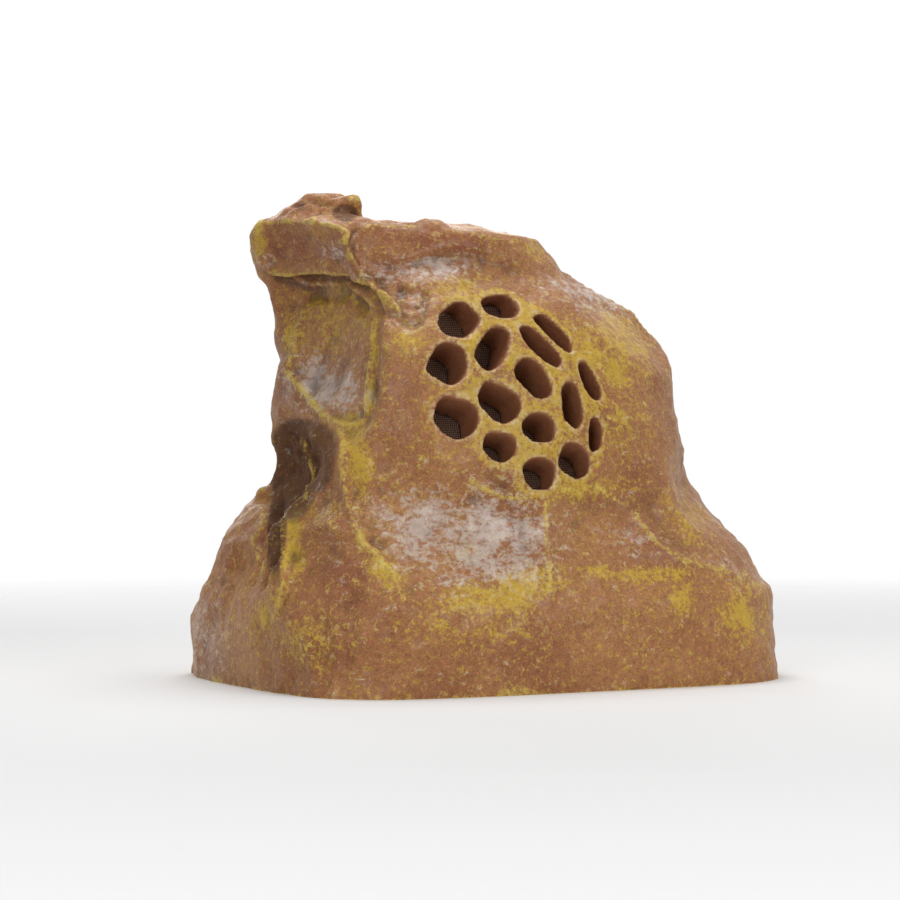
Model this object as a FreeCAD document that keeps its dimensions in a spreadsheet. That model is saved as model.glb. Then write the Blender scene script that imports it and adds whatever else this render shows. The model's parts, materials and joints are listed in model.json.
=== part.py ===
"""Garden speaker in a moulded boulder: a hollow resin rock with a field of sound holes in its front, a paper-cone
driver with screen and gaskets behind them, a screwed base plate and a cable gland on a boss at the back.

Millimetres. Z is up, the sound holes face -Y, and the origin is on the ground under the middle of the rock.
"""
import FreeCAD
import Part
import Sketcher
import math
import os

DIMENSIONS = {
    # The boulder and its wall.
    "rock_width": 362,
    "rock_depth": 290,
    "rock_height": 326,
    "rock_wall": 7,
    "rim_wall": 8,
    "ledge_width": 17,
    "ledge_height": 16,
    # The base plate under the ledge.
    "plate_inset": 4,
    "plate_thickness": 6,
    "plate_clearance": 1,
    "base_gasket_thickness": 3,
    "base_screw_diameter": 4.9,
    "base_head_diameter": 9.5,
    "base_head_height": 3,
    "base_insert_diameter": 7,
    "base_insert_length": 11,
    # The sound holes and the pad behind them that carries the driver.
    "grille_diameter": 138,
    "grille_shift": 30,
    "grille_height": 184,
    "grille_setback": 62,
    "grille_tilt": 21,
    "pad_diameter": 184,
    "well_depth": 24,
    # The screen and the gaskets, from the pad inwards.
    "screen_thickness": 1.2,
    "spacer_thickness": 10,
    "spacer_bore": 140,
    "front_gasket_thickness": 2.5,
    # The driver.
    "driver_diameter": 156,
    "bolt_circle": 148,
    "flange_thickness": 4,
    "flange_bore": 131,
    "basket_depth": 45,
    "basket_wall": 3,
    "seat_diameter": 86,
    "seat_bore": 72,
    "spider_depth": 31,
    "basket_bore": 36,
    "window_inner": 46,
    "window_outer": 62,
    "window_width": 30,
    "driver_screw_diameter": 3.9,
    "driver_head_diameter": 7.6,
    "driver_head_height": 2.8,
    "driver_insert_diameter": 5.8,
    "driver_insert_length": 8,
    "cone_diameter": 113,
    "cone_lip": 3.5,
    "cone_depth": 25,
    "cone_thickness": 1,
    "roll_diameter": 122,
    "roll_radius": 4.4,
    "surround_thickness": 0.8,
    "lip_diameter": 139,
    "cap_diameter": 40,
    "cap_rise": 6,
    "cap_thickness": 0.6,
    "former_diameter": 25.2,
    "former_wall": 0.3,
    "former_length": 32,
    "coil_thickness": 0.55,
    "coil_length": 10,
    "spider_thickness": 0.6,
    "spider_wave": 1.5,
    "pole_diameter": 24.5,
    "gap_diameter": 27.5,
    "steel_diameter": 75,
    "top_plate_thickness": 5,
    "magnet_diameter": 84,
    "magnet_bore": 40,
    "magnet_thickness": 15,
    "yoke_thickness": 6,
    # The driver's terminals, the leads and the block on the base plate.
    "board_width": 26,
    "board_height": 12,
    "board_thickness": 5,
    "tab_width": 4.8,
    "tab_length": 9,
    "tab_thickness": 0.8,
    "tab_spacing": 14,
    "lead_diameter": 2.4,
    "block_width": 30,
    "block_depth": 16,
    "block_height": 14,
    "block_setback": 75,
    "block_spacing": 12,
    "block_screw_diameter": 4.4,
    # The cable gland, on a boss at the back.
    "gland_height": 150,
    "gland_recess": 21,
    "boss_diameter": 36,
    "boss_draft": 12,
    "locknut_clearance": 1.5,
    "gland_wall": 8,
    "gland_thread": 16,
    "gland_across": 23,
    "gland_flange": 4,
    "gland_barrel": 7,
    "gland_tail": 20,
    "gland_nut_length": 14,
    "gland_seal_thickness": 2,
    "cable_bore": 6.8,
}

# The boulder's level sections, in percent: the height, then the reach to the left and right (of half the width)
# and to the front and back (of half the depth), and the power of the superellipse that rounds the corners.
SECTIONS = (
    (0, 100, 100, 100, 100, 4.5),
    (9, 100, 99.5, 100, 99, 4.5),
    (17.5, 99, 98, 99, 96, 4.2),
    (21, 96, 96.5, 96, 94.5, 3.8),
    (27.5, 92.5, 93, 92, 91.5, 3.4),
    (32, 88, 87, 88, 89.5, 3.2),
    (36, 83, 80, 85, 87.5, 3.0),
    (40.5, 80.5, 75, 83, 85.5, 2.8),
    (53.5, 76, 71, 77, 79, 2.8),
    (66, 75.5, 70, 69, 73, 2.8),
    (71, 75.5, 64, 65, 70, 2.8),
    (77, 78, 54, 57, 66, 2.8),
    (81, 81, 39, 47, 63, 2.8),
    (83, 85.5, 32, 44, 61, 2.9),
    (87.5, 87.5, 24, 41, 57, 3.2),
    (91, 87, 19, 39, 55, 3.2),
    (93.5, 85, -13, 28, 45, 2.8),
    (95, 78, -46, 4, 32, 2.6),
    (97.5, 73, -49, 0, 28, 2.4),
    (100, 66, -54, -8, 22, 2.2),
)

# Lumps and hollows of the surface: the bearing (counted from +X towards +Y), the height in percent, the half
# angle, the half height in percent, the push outwards in percent of half the depth, and the sharpness of the edge,
# which is 0 for a form that fades out softly.
FORMS = {
    "grille dome": (256, 56, 46, 27, 6.5, 0),
    "near corner": (221, 58, 28, 30, 8, 0),
    "left scoop": (187, 67, 21, 12, -4, 1),
    "scoop lip": (196, 54, 20, 5, 4, 1),
    "undercut": (172, 43, 25, 10.5, -15, 1.2),
    "corner ridge": (207, 44, 10, 22, 5, 1),
    "front hollow": (236, 32, 24, 13, -6, 0),
    "front rib": (262, 31, 7, 13, 3, 1),
    "right hollow": (287, 33, 20, 12, -5, 0),
    "crevice": (178, 31, 8, 15, -11, 1),
    "foot rib": (192, 29, 11, 14, 5, 1),
    "pocket": (227, 79.5, 10, 5, -6, 1.3),
    "right valley": (322, 37, 16, 12, -6, 0),
    "right lump": (345, 27, 16, 8, 3, 1),
    "back bulge": (40, 45, 34, 26, 5, 0),
    "back hollow": (130, 64, 26, 18, -7, 1.1),
    "right cleft": (10, 44, 13, 28, -6, 1),
}

# Flat faces struck off the surface: the bearing and the height in percent of the middle, the half angle, the half
# height in percent, the tilt upwards in degrees, and the depth in percent of half the depth.
STRUCK_FACES = {
    "head face": (217, 87.5, 22, 4.5, 5, 5),
    "head end": (182, 87, 14, 4, 6, 2),
    "top panel": (262, 88, 36, 4, 12, 3),
    "scoop panel": (190, 67, 24, 13, 12, 6),
    "foot face": (208, 23, 12, 8, 18, 3),
    "shoulder": (305, 74, 26, 8, 42, 3),
    "right face": (15, 60, 28, 16, 12, 3),
    "back right face": (50, 28, 22, 16, 16, 5),
    "back left face": (126, 30, 20, 16, 18, 5),
    "back top face": (100, 80, 40, 9, 22, 4),
}

# The sound holes, in percent of half the grille's diameter: the place across and up from the driver's axis, the
# long and the short way of the oval, and its turn in degrees.
SOUND_HOLES = (
    (-49, 72, 51, 36, 37),
    (0, 88, 41, 30, 5),
    (48, 59, 53, 20, 125),
    (29, 43, 57, 22, 129),
    (-71, 26, 46, 39, 58),
    (-22, 41, 57, 29, 52),
    (14, 10, 47, 32, 124),
    (-25, -13, 48, 37, 147),
    (-70, -26, 47, 40, 160),
    (52, -16, 49, 24, 90),
    (77, 9, 44, 19, 109),
    (13, -38, 37, 30, 177),
    (-29, -54, 36, 28, 166),
    (75, -43, 36, 16, 82),
    (10, -80, 36, 32, 0),
    (49, -68, 37, 33, 163),
)

COLUMNS = 60
ROW_STEP = 3.4
FACE_FLARE = 0.8
CAVITY_TOP = 86
BASE_SCREWS = 8
DRIVER_SCREWS = 4
WINDOWS = 6

doc = FreeCAD.newDocument("rock_speaker")
sheet = doc.addObject("Spreadsheet::Sheet", "dims")
for row, (alias, value) in enumerate(DIMENSIONS.items(), start=1):
    sheet.set(f"A{row}", alias.replace("_", " "))
    sheet.set(f"B{row}", str(value))
    sheet.setAlias(f"B{row}", alias)
doc.recompute()

pieces = []


def size(alias):
    return float(sheet.get(alias))


def vector(x, y, z):
    return FreeCAD.Vector(x, y, z)


def placed(x, y, z, turn=None):
    return FreeCAD.Placement(vector(x, y, z), turn or FreeCAD.Rotation())


def keep(item, label, place=None):
    """Name a finished piece and put it in its place."""
    item.Label = label
    if place is not None:
        item.Placement = place
    pieces.append(item)
    return item


def solid_of(name, shape):
    item = doc.addObject("Part::Feature", name)
    item.Shape = shape
    return item


def cylinder(name, radius, height, place):
    item = doc.addObject("Part::Cylinder", name)
    item.setExpression("Radius", radius)
    item.setExpression("Height", height)
    item.Placement = place
    return item


def hexagon(name, across, height, place):
    """A hexagonal prism by the width across its flats."""
    item = doc.addObject("Part::Prism", name)
    item.Polygon = 6
    item.setExpression("Circumradius", f"({across}) / 2 / cos(30 deg)")
    item.setExpression("Height", height)
    item.Placement = place
    return item


def box(name, length, width, height, place):
    item = doc.addObject("Part::Box", name)
    item.setExpression("Length", length)
    item.setExpression("Width", width)
    item.setExpression("Height", height)
    item.Placement = place
    return item


def cut(name, base, tool):
    item = doc.addObject("Part::Cut", name)
    item.Base = base
    item.Tool = tool
    return item


def fuse(name, *shapes):
    item = doc.addObject("Part::MultiFuse", name)
    item.Shapes = list(shapes)
    return item


def common(name, *shapes):
    item = doc.addObject("Part::MultiCommon", name)
    item.Shapes = list(shapes)
    return item


def group(name, *shapes):
    item = doc.addObject("Part::Compound", name)
    item.Links = list(shapes)
    return item


def origin_plane(body, role):
    return next(item for item in body.Origin.OriginFeatures if item.Role == role)


def draw_outline(sketch, points):
    """Draw a closed outline of straight lines whose corners are bound to expressions."""
    corners = []
    for across, up in points:
        corners.append(vector(float(sketch.evalExpression(across)), float(sketch.evalExpression(up)), 0))
    count = len(corners)
    for i in range(count):
        sketch.addGeometry(Part.LineSegment(corners[i], corners[(i + 1) % count]), False)
    for i in range(count):
        sketch.addConstraint(Sketcher.Constraint("Coincident", i, 2, (i + 1) % count, 1))
    for i, (across, up) in enumerate(points):
        if across == "0":
            sketch.addConstraint(Sketcher.Constraint("PointOnObject", i, 1, -2))
        else:
            bound = sketch.addConstraint(Sketcher.Constraint("DistanceX", -1, 1, i, 1, corners[i].x))
            sketch.setExpression(f"Constraints[{bound}]", across)
        bound = sketch.addConstraint(Sketcher.Constraint("DistanceY", -1, 1, i, 1, corners[i].y))
        sketch.setExpression(f"Constraints[{bound}]", up)


def new_sketch(body, name, role):
    sketch = body.newObject("Sketcher::SketchObject", name)
    sketch.AttachmentSupport = (origin_plane(body, role), [""])
    sketch.MapMode = "FlatFace"
    return sketch


def turned(label, points):
    """A body turned about its own Z axis from an outline of radius and height expressions."""
    body = doc.addObject("PartDesign::Body", label)
    sketch = new_sketch(body, label + "_outline", "XZ_Plane")
    draw_outline(sketch, points)
    turn = body.newObject("PartDesign::Revolution", label + "_turn")
    turn.Profile = sketch
    turn.ReferenceAxis = (sketch, ["V_Axis"])
    turn.Angle = 360
    doc.recompute()
    return body


def ring(label, outer, inner, bottom, top):
    """A turned ring with a square section, by its two diameters and its two levels."""
    outer = f"({outer}) / 2"
    inner = f"({inner}) / 2"
    return turned(label, ((inner, bottom), (outer, bottom), (outer, top), (inner, top)))


def pocket_pattern(body, sketch, count):
    """Cut a sketch through a body from its own plane downwards, and repeat the cut around the axis."""
    cutter = body.newObject("PartDesign::Pocket", sketch.Name + "_cut")
    cutter.Profile = sketch
    cutter.Type = "ThroughAll"
    doc.recompute()
    around = body.newObject("PartDesign::PolarPattern", sketch.Name + "_around")
    around.Originals = [cutter]
    around.Axis = (sketch, ["N_Axis"])
    around.Angle = 360
    around.Occurrences = count
    body.Tip = around
    doc.recompute()


def drill_bolt_circle(body):
    """Drill the driver's screw holes, on the diagonals of its bolt circle."""
    sketch = new_sketch(body, body.Label + "_drill", "XY_Plane")
    place = size("bolt_circle") / 2 * math.cos(math.radians(45))
    sketch.addGeometry(Part.Circle(vector(place, place, 0), vector(0, 0, 1), size("driver_screw_diameter") / 2), False)
    bound = sketch.addConstraint(Sketcher.Constraint("Radius", 0, size("driver_screw_diameter") / 2))
    sketch.setExpression(f"Constraints[{bound}]", "dims.driver_screw_diameter / 2 + 0.2")
    for way in ("DistanceX", "DistanceY"):
        bound = sketch.addConstraint(Sketcher.Constraint(way, -1, 1, 0, 3, place))
        sketch.setExpression(f"Constraints[{bound}]", "dims.bolt_circle / 2 * cos(45 deg)")
    pocket_pattern(body, sketch, DRIVER_SCREWS)


# The boulder's form

def section_at(height):
    """The section at a height in percent, between the rows of the table."""
    for low, high in zip(SECTIONS, SECTIONS[1:]):
        if height <= high[0]:
            share = (height - low[0]) / (high[0] - low[0])
            return [a + share * (b - a) for a, b in zip(low, high)]
    return list(SECTIONS[-1])


def waved(bearing, height):
    """Let the sections rise and fall a little across the front and the back, as rough strata do."""
    if height > 90:
        return height
    across = math.sin(math.radians(bearing - 152)) ** 2
    fade = math.sin(math.pi * height / 90)
    return height + 3 * across * fade * math.sin(math.radians(3 * bearing + 35))


def section_outline(bearing, height, inset=0):
    """The middle of the section at a height, and the reach from it to the surface before faces are struck off."""
    _, left, right, front, back, power = section_at(waved(bearing, height))
    middle = vector((right - left) / 200 * HALF_WIDTH, (back - front) / 200 * HALF_DEPTH, height / 100 * HEIGHT)
    reach_x = (left + right) / 200 * HALF_WIDTH - inset
    reach_y = (front + back) / 200 * HALF_DEPTH - inset
    angle = math.radians(bearing)
    reach = (abs(math.cos(angle) / reach_x) ** power + abs(math.sin(angle) / reach_y) ** power) ** (-1 / power)
    for centre, level, half_angle, half_height, push, edge in FORMS.values():
        away = (turn_between(bearing, centre) / half_angle) ** 2 + ((height - level) / half_height) ** 2
        if away < 1:
            rise = min(1, edge * (1 - away)) if edge else (1 - away) ** 1.5
            reach += push / 100 * HALF_DEPTH * rise
    return middle, reach


def turn_between(bearing, other):
    return (bearing - other + 180) % 360 - 180


def outward(bearing, tilt=0):
    turn = math.radians(bearing)
    lean = math.radians(tilt)
    return vector(math.cos(turn) * math.cos(lean), math.sin(turn) * math.cos(lean), math.sin(lean))


def struck_planes():
    """Each struck face with its direction and its distance from the origin."""
    planes = []
    for centre, level, half_angle, half_height, tilt, depth in STRUCK_FACES.values():
        middle, reach = section_outline(centre, level)
        normal = outward(centre, tilt)
        distance = normal.dot(middle + outward(centre) * reach) - depth / 100 * HALF_DEPTH
        planes.append((centre, level, half_angle, half_height, normal, distance))
    return planes


def rock_point(bearing, height, inset=0):
    """A point of the boulder's surface, or of a section drawn in by an inset."""
    middle, reach = section_outline(bearing, height, inset)
    way = outward(bearing)
    whole = reach
    for centre, level, half_angle, half_height, normal, distance in PLANES:
        if inset or normal.dot(way) < 0.2:
            continue
        past = max(0, abs(height - level) - half_height) / 100 * HEIGHT
        past += max(0, abs(turn_between(bearing, centre)) - half_angle) * math.pi / 180 * whole
        reach = min(reach, (distance - normal.dot(middle)) / normal.dot(way) + FACE_FLARE * past)
    return middle + way * max(reach, 0.6 * whole)


def hollow_point(bearing, height):
    """A point of the hollow: one wall inside the nearest part of the surface around it."""
    middle, _ = section_outline(bearing, height)
    way = outward(bearing)
    wall = size("rock_wall")
    reaches = []
    for turn in (-5, 0, 5):
        for rise in (-wall, 0, wall):
            near = rock_point(bearing + turn, height + rise / HEIGHT * 100)
            reaches.append((near - middle).dot(way))
    return middle + way * (min(reaches) - wall)


HALF_WIDTH = size("rock_width") / 2
HALF_DEPTH = size("rock_depth") / 2
HEIGHT = size("rock_height")
PLANES = struck_planes()


def bearings():
    """The bearings of the facets' columns, closer together at the four rounded corners."""
    even = [360 * j / COLUMNS for j in range(COLUMNS)]
    return [turn + 5 * math.sin(math.radians(4 * turn)) for turn in even]


def ground_ring(inset, level):
    """The boulder's outline on the ground, drawn in by an inset and lifted to a level."""
    points = [rock_point(bearing, 0, inset) for bearing in bearings()]
    return [vector(point.x, point.y, level) for point in points]


def row_heights():
    heights = []
    for low, high in zip(SECTIONS, SECTIONS[1:]):
        steps = max(1, math.ceil((high[0] - low[0]) / ROW_STEP - 0.01))
        heights += [low[0] + (high[0] - low[0]) * i / steps for i in range(steps)]
    return heights + [SECTIONS[-1][0]]


def flat(points):
    return Part.Face(Part.makePolygon(list(points) + [points[0]]))


def facet_solid(rows):
    """A closed solid of flat facets between level rings, with a flat bottom and a flat top."""
    faces = [flat(rows[0]), flat(rows[-1])]
    for low, high in zip(rows, rows[1:]):
        for j in range(len(low)):
            a, b, c, d = low[j - 1], low[j], high[j], high[j - 1]
            if a.distanceToPoint(c) < b.distanceToPoint(d):
                faces += [flat((a, b, c)), flat((a, c, d))]
            else:
                faces += [flat((a, b, d)), flat((b, c, d))]
    shell = Part.makeShell(faces)
    shell.sewShape()
    solid = Part.makeSolid(shell)
    if solid.Volume < 0:
        solid.reverse()
    return solid


def prism(points, height):
    return flat(points).extrude(vector(0, 0, height))


# Where the driver and the gland sit

GROUND_CLEARANCE = size("plate_inset")
PLATE_TOP = GROUND_CLEARANCE + size("plate_thickness")
LEDGE = PLATE_TOP + size("base_gasket_thickness")
PAD_FACE = size("rock_depth") / 2 - size("grille_setback")
DRIVER = placed(-size("grille_shift"), -PAD_FACE, size("grille_height"),
                FreeCAD.Rotation(vector(1, 0, 0), 90 - size("grille_tilt")))
GLAND_FACE = size("rock_depth") / 2 - size("gland_recess")
GLAND = placed(0, GLAND_FACE, size("gland_height"), FreeCAD.Rotation(vector(1, 0, 0), -90))


def on_driver(x, y, z, turn=0):
    """A place in the driver's own frame, with Z along its axis out of the rock."""
    return DRIVER.multiply(placed(x, y, z, FreeCAD.Rotation(vector(0, 0, 1), turn)))


def on_gland(z):
    return GLAND.multiply(placed(0, 0, z))


def base_screw_places():
    inset = size("rim_wall") + size("ledge_width") / 2 + size("plate_clearance") / 2
    points = [rock_point(360 * (i + 0.5) / BASE_SCREWS, 0, inset) for i in range(BASE_SCREWS)]
    return [(point.x, point.y) for point in points]


def bolt_places():
    reach = size("bolt_circle") / 2
    turns = [math.radians(360 * (i + 0.5) / DRIVER_SCREWS) for i in range(DRIVER_SCREWS)]
    return [(reach * math.cos(turn), reach * math.sin(turn)) for turn in turns]


# The rock shell: outer form, cavity with a pad for the driver and a boss for the gland, then the openings

rows = [[rock_point(bearing, height) for bearing in bearings()] for height in row_heights()]
bare_boulder = solid_of("bare_boulder", facet_solid(rows))
gland_mound = doc.addObject("Part::Cone", "gland_mound")
gland_mound.setExpression("Radius1", "dims.boss_diameter / 2 + dims.gland_recess * tan(dims.boss_draft * 1 deg)")
gland_mound.setExpression("Radius2", "dims.boss_diameter / 2")
gland_mound.setExpression("Height", "dims.gland_recess")
gland_mound.Placement = on_gland(-size("gland_recess"))
boulder = fuse("boulder", bare_boulder, gland_mound)

ledge_inset = size("rim_wall") + size("ledge_width")
ledge_top = LEDGE + size("ledge_height")
hollow_rows = [ground_ring(ledge_inset, -1), ground_ring(ledge_inset, ledge_top)]
for height in row_heights()[::2]:
    if ledge_top + 10 < height / 100 * HEIGHT and height < CAVITY_TOP:
        hollow_rows.append([hollow_point(bearing, height) for bearing in bearings()])
hollow = solid_of("hollow", facet_solid(hollow_rows))

pad = cylinder("pad", "dims.pad_diameter / 2", "dims.rock_depth / 2", on_driver(0, 0, 0))
gland_core = cylinder("gland_core", "dims.gland_across", "dims.gland_recess * 2", on_gland(-size("gland_wall")))
kept = fuse("kept_wall", pad, gland_core)
room = cut("room", hollow, kept)

recess = solid_of("recess", prism(ground_ring(size("rim_wall"), -1), LEDGE + 1))
well = cylinder("well", "dims.driver_diameter / 2 + 2", "dims.well_depth", on_driver(0, 0, -size("well_depth")))
locknut_room = cylinder("locknut_room", "dims.gland_across / 2 / cos(30 deg) + dims.locknut_clearance",
                        "dims.gland_tail", on_gland(-size("gland_wall") - size("gland_tail")))
inside = fuse("inside", room, recess, well, locknut_room)
bare_shell = cut("bare_shell", boulder, inside)

openings = []
for i, (across, up, long, short, turn) in enumerate(SOUND_HOLES, start=1):
    share = size("grille_diameter") / 200
    oval = doc.addObject("Part::Ellipse", f"oval_{i}")
    oval.setExpression("MajorRadius", f"dims.grille_diameter * {long} / 400")
    oval.setExpression("MinorRadius", f"dims.grille_diameter * {short} / 400")
    oval.Placement = on_driver(across * share, up * share, -1, turn)
    hole = doc.addObject("Part::Extrusion", f"sound_hole_{i}")
    hole.Base = oval
    hole.DirMode = "Custom"
    hole.Dir = DRIVER.Rotation.multVec(vector(0, 0, 1))
    hole.Solid = True
    hole.setExpression("LengthFwd", "dims.grille_setback + 10")
    openings.append(hole)
for i, (x, y) in enumerate(bolt_places(), start=1):
    openings.append(cylinder(f"driver_socket_{i}", "dims.driver_insert_diameter / 2 + 0.05",
                             "dims.driver_insert_length + 1.5", on_driver(x, y, -0.5)))
for i, (x, y) in enumerate(base_screw_places(), start=1):
    openings.append(cylinder(f"base_socket_{i}", "dims.base_insert_diameter / 2 + 0.05",
                             "dims.base_insert_length + 1.5", placed(x, y, LEDGE - 0.5)))
gland_seat = cylinder("gland_seat", "dims.boss_diameter / 2", "dims.gland_recess * 2", on_gland(0))
gland_hole = cylinder("gland_hole", "dims.gland_thread / 2 + 0.25", "dims.gland_wall + 4", on_gland(-size("gland_wall") - 2))
openings.append(fuse("gland_opening", gland_seat, gland_hole))
all_openings = group("openings", *openings)
keep(cut("shell_cut", bare_shell, all_openings), "rock_shell")


# The base: gasket, plate, inserts and screws

def ledge_holes(name, level, height):
    holes = [cylinder(f"{name}_hole_{i}", "dims.base_screw_diameter / 2 + 0.3", height, placed(x, y, level))
             for i, (x, y) in enumerate(base_screw_places(), start=1)]
    return group(name + "_holes", *holes)


seat_inset = size("rim_wall") + size("plate_clearance")
gasket_ring = solid_of("gasket_ring", prism(ground_ring(seat_inset, PLATE_TOP), size("base_gasket_thickness")))
gasket_bore = solid_of("gasket_bore", prism(ground_ring(ledge_inset - 1, PLATE_TOP - 1), size("base_gasket_thickness") + 2))
gasket_tools = group("gasket_tools", gasket_bore, ledge_holes("gasket", PLATE_TOP - 1, "dims.base_gasket_thickness + 2"))
keep(cut("gasket_cut", gasket_ring, gasket_tools), "base_gasket")

plate_blank = solid_of("plate_blank", prism(ground_ring(seat_inset, GROUND_CLEARANCE), size("plate_thickness")))
plate_holes = ledge_holes("plate", GROUND_CLEARANCE - 1, "dims.plate_thickness + 2")
keep(cut("plate_cut", plate_blank, plate_holes), "base_plate")

base_inserts = []
base_screws = []
for i, (x, y) in enumerate(base_screw_places(), start=1):
    sleeve = cylinder(f"base_sleeve_{i}", "dims.base_insert_diameter / 2", "dims.base_insert_length", placed(x, y, LEDGE))
    bore = cylinder(f"base_sleeve_bore_{i}", "dims.base_screw_diameter / 2 + 0.1", "dims.base_insert_length + 2",
                    placed(x, y, LEDGE - 1))
    base_inserts.append(cut(f"base_insert_{i}", sleeve, bore))
    shank = cylinder(f"base_shank_{i}", "dims.base_screw_diameter / 2",
                     "dims.plate_thickness + dims.base_gasket_thickness + dims.base_insert_length - 1",
                     placed(x, y, GROUND_CLEARANCE))
    head = cylinder(f"base_head_{i}", "dims.base_head_diameter / 2", "dims.base_head_height",
                    placed(x, y, GROUND_CLEARANCE - size("base_head_height")))
    base_screws.append(fuse(f"base_screw_{i}", shank, head))
keep(group("base_insert_set", *base_inserts), "base_inserts")
keep(group("base_screw_set", *base_screws), "base_screws")


# The driver, from the pad inwards: levels along its axis as expressions

SCREEN_BACK = "-dims.screen_thickness"
FRONT = "-(dims.screen_thickness + dims.spacer_thickness)"
FLANGE_BACK = f"({FRONT} - dims.flange_thickness)"
SPIDER_SEAT = f"({FRONT} - dims.spider_depth)"
BACK = f"({FRONT} - dims.basket_depth)"
MAGNET_TOP = f"({BACK} - dims.top_plate_thickness)"
MAGNET_BACK = f"({MAGNET_TOP} - dims.magnet_thickness)"
NECK = "(dims.former_diameter / 2 + dims.former_wall + 0.05)"
front_level = -(size("screen_thickness") + size("spacer_thickness"))
back_level = front_level - size("basket_depth")

screen = turned("screen_body", (("0", SCREEN_BACK), ("dims.driver_diameter / 2 - 1", SCREEN_BACK),
                                ("dims.driver_diameter / 2 - 1", "0 * dims.screen_thickness"),
                                ("0", "0 * dims.screen_thickness")))
drill_bolt_circle(screen)
keep(screen, "mesh_screen", DRIVER)

spacer = ring("spacer_body", "dims.driver_diameter - 1", "dims.spacer_bore", FRONT, SCREEN_BACK)
drill_bolt_circle(spacer)
keep(spacer, "spacer_ring", DRIVER)

basket = turned("basket_body", (
    ("dims.flange_bore / 2", FRONT),
    ("dims.driver_diameter / 2", FRONT),
    ("dims.driver_diameter / 2", FLANGE_BACK),
    ("dims.flange_bore / 2 + dims.basket_wall", FLANGE_BACK),
    ("dims.seat_diameter / 2", f"{SPIDER_SEAT} + dims.flange_thickness"),
    ("dims.seat_diameter / 2", BACK),
    ("dims.basket_bore / 2", BACK),
    ("dims.basket_bore / 2", f"{BACK} + dims.basket_wall"),
    ("dims.seat_bore / 2", f"{BACK} + dims.basket_wall"),
    ("dims.seat_bore / 2", SPIDER_SEAT),
    ("dims.seat_diameter / 2 - dims.basket_wall", SPIDER_SEAT),
    ("dims.seat_diameter / 2 - dims.basket_wall", f"{SPIDER_SEAT} + dims.flange_thickness"),
    ("dims.flange_bore / 2", FLANGE_BACK),
))
drill_bolt_circle(basket)
windows = new_sketch(basket, "basket_windows", "XY_Plane")
draw_outline(windows, (
    ("dims.window_inner", "-dims.window_width * 0.4"),
    ("dims.window_outer", "-dims.window_width * 0.6"),
    ("dims.window_outer", "dims.window_width * 0.6"),
    ("dims.window_inner", "dims.window_width * 0.4"),
))
pocket_pattern(basket, windows, WINDOWS)
keep(basket, "basket", DRIVER)

keep(ring("gasket_body", "dims.lip_diameter - 0.2", "dims.flange_bore + 0.6", f"{FRONT} + dims.surround_thickness",
          f"{FRONT} + dims.surround_thickness + dims.front_gasket_thickness"), "front_gasket", DRIVER)


def at_front(lift=0):
    return placed(0, 0, front_level + lift)


def torus(name, radius):
    item = doc.addObject("Part::Torus", name)
    item.setExpression("Radius1", "dims.roll_diameter / 2")
    item.setExpression("Radius2", radius)
    item.Placement = at_front()
    return item


def lip(name, outer, inner):
    whole = cylinder(name + "_whole", outer, "dims.surround_thickness", at_front())
    middle = cylinder(name + "_middle", inner, "dims.surround_thickness + 2", at_front(-1))
    return cut(name, whole, middle)


roll_tube = cut("roll_tube", torus("roll_outside", "dims.roll_radius"),
                torus("roll_inside", "dims.roll_radius - dims.surround_thickness"))
roll_upper = cylinder("roll_upper", "dims.roll_diameter", "dims.roll_radius * 2", at_front())
roll = common("roll", roll_tube, roll_upper)
inner_lip = lip("inner_lip", "dims.roll_diameter / 2 - dims.roll_radius + dims.surround_thickness / 2",
                "dims.cone_diameter / 2 - dims.cone_lip + 0.2")
outer_lip = lip("outer_lip", "dims.lip_diameter / 2",
                "dims.roll_diameter / 2 + dims.roll_radius - dims.surround_thickness / 2")
keep(fuse("surround_solid", roll, inner_lip, outer_lip), "surround", DRIVER)

keep(turned("cone_body", (
    (NECK, f"{FRONT} - dims.cone_depth"),
    (NECK, f"{FRONT} - dims.cone_depth - dims.cone_thickness * 1.2"),
    ("dims.cone_diameter / 2 - dims.cone_lip", f"{FRONT} - dims.cone_thickness"),
    ("dims.cone_diameter / 2", f"{FRONT} - dims.cone_thickness"),
    ("dims.cone_diameter / 2", FRONT),
    ("dims.cone_diameter / 2 - dims.cone_lip", FRONT),
)), "cone", DRIVER)

cap_reach = size("cap_diameter") / 2
cap_radius = (cap_reach ** 2 + size("cap_rise") ** 2) / (2 * size("cap_rise"))
neck_reach = size("former_diameter") / 2 + size("former_wall") + 0.05
cone_reach = size("cone_diameter") / 2 - size("cone_lip")
cap_seat = front_level - size("cone_depth") * (cone_reach - cap_reach) / (cone_reach - neck_reach) + 0.05
cap_middle = cap_seat - math.sqrt((cap_radius - size("cap_thickness")) ** 2 - cap_reach ** 2)
CAP_RADIUS = "((dims.cap_diameter / 2)^2 + dims.cap_rise^2) / (2 * dims.cap_rise)"


def ball(name, radius):
    item = doc.addObject("Part::Sphere", name)
    item.setExpression("Radius", radius)
    item.Placement = placed(0, 0, cap_middle)
    return item


cap_shell = cut("cap_shell", ball("cap_outside", CAP_RADIUS), ball("cap_inside", CAP_RADIUS + " - dims.cap_thickness"))
cap_bounds = cylinder("cap_bounds", "dims.cap_diameter / 2", "dims.cap_diameter", placed(0, 0, cap_seat - 1))
keep(common("cap_solid", cap_shell, cap_bounds), "dust_cap", DRIVER)

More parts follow.
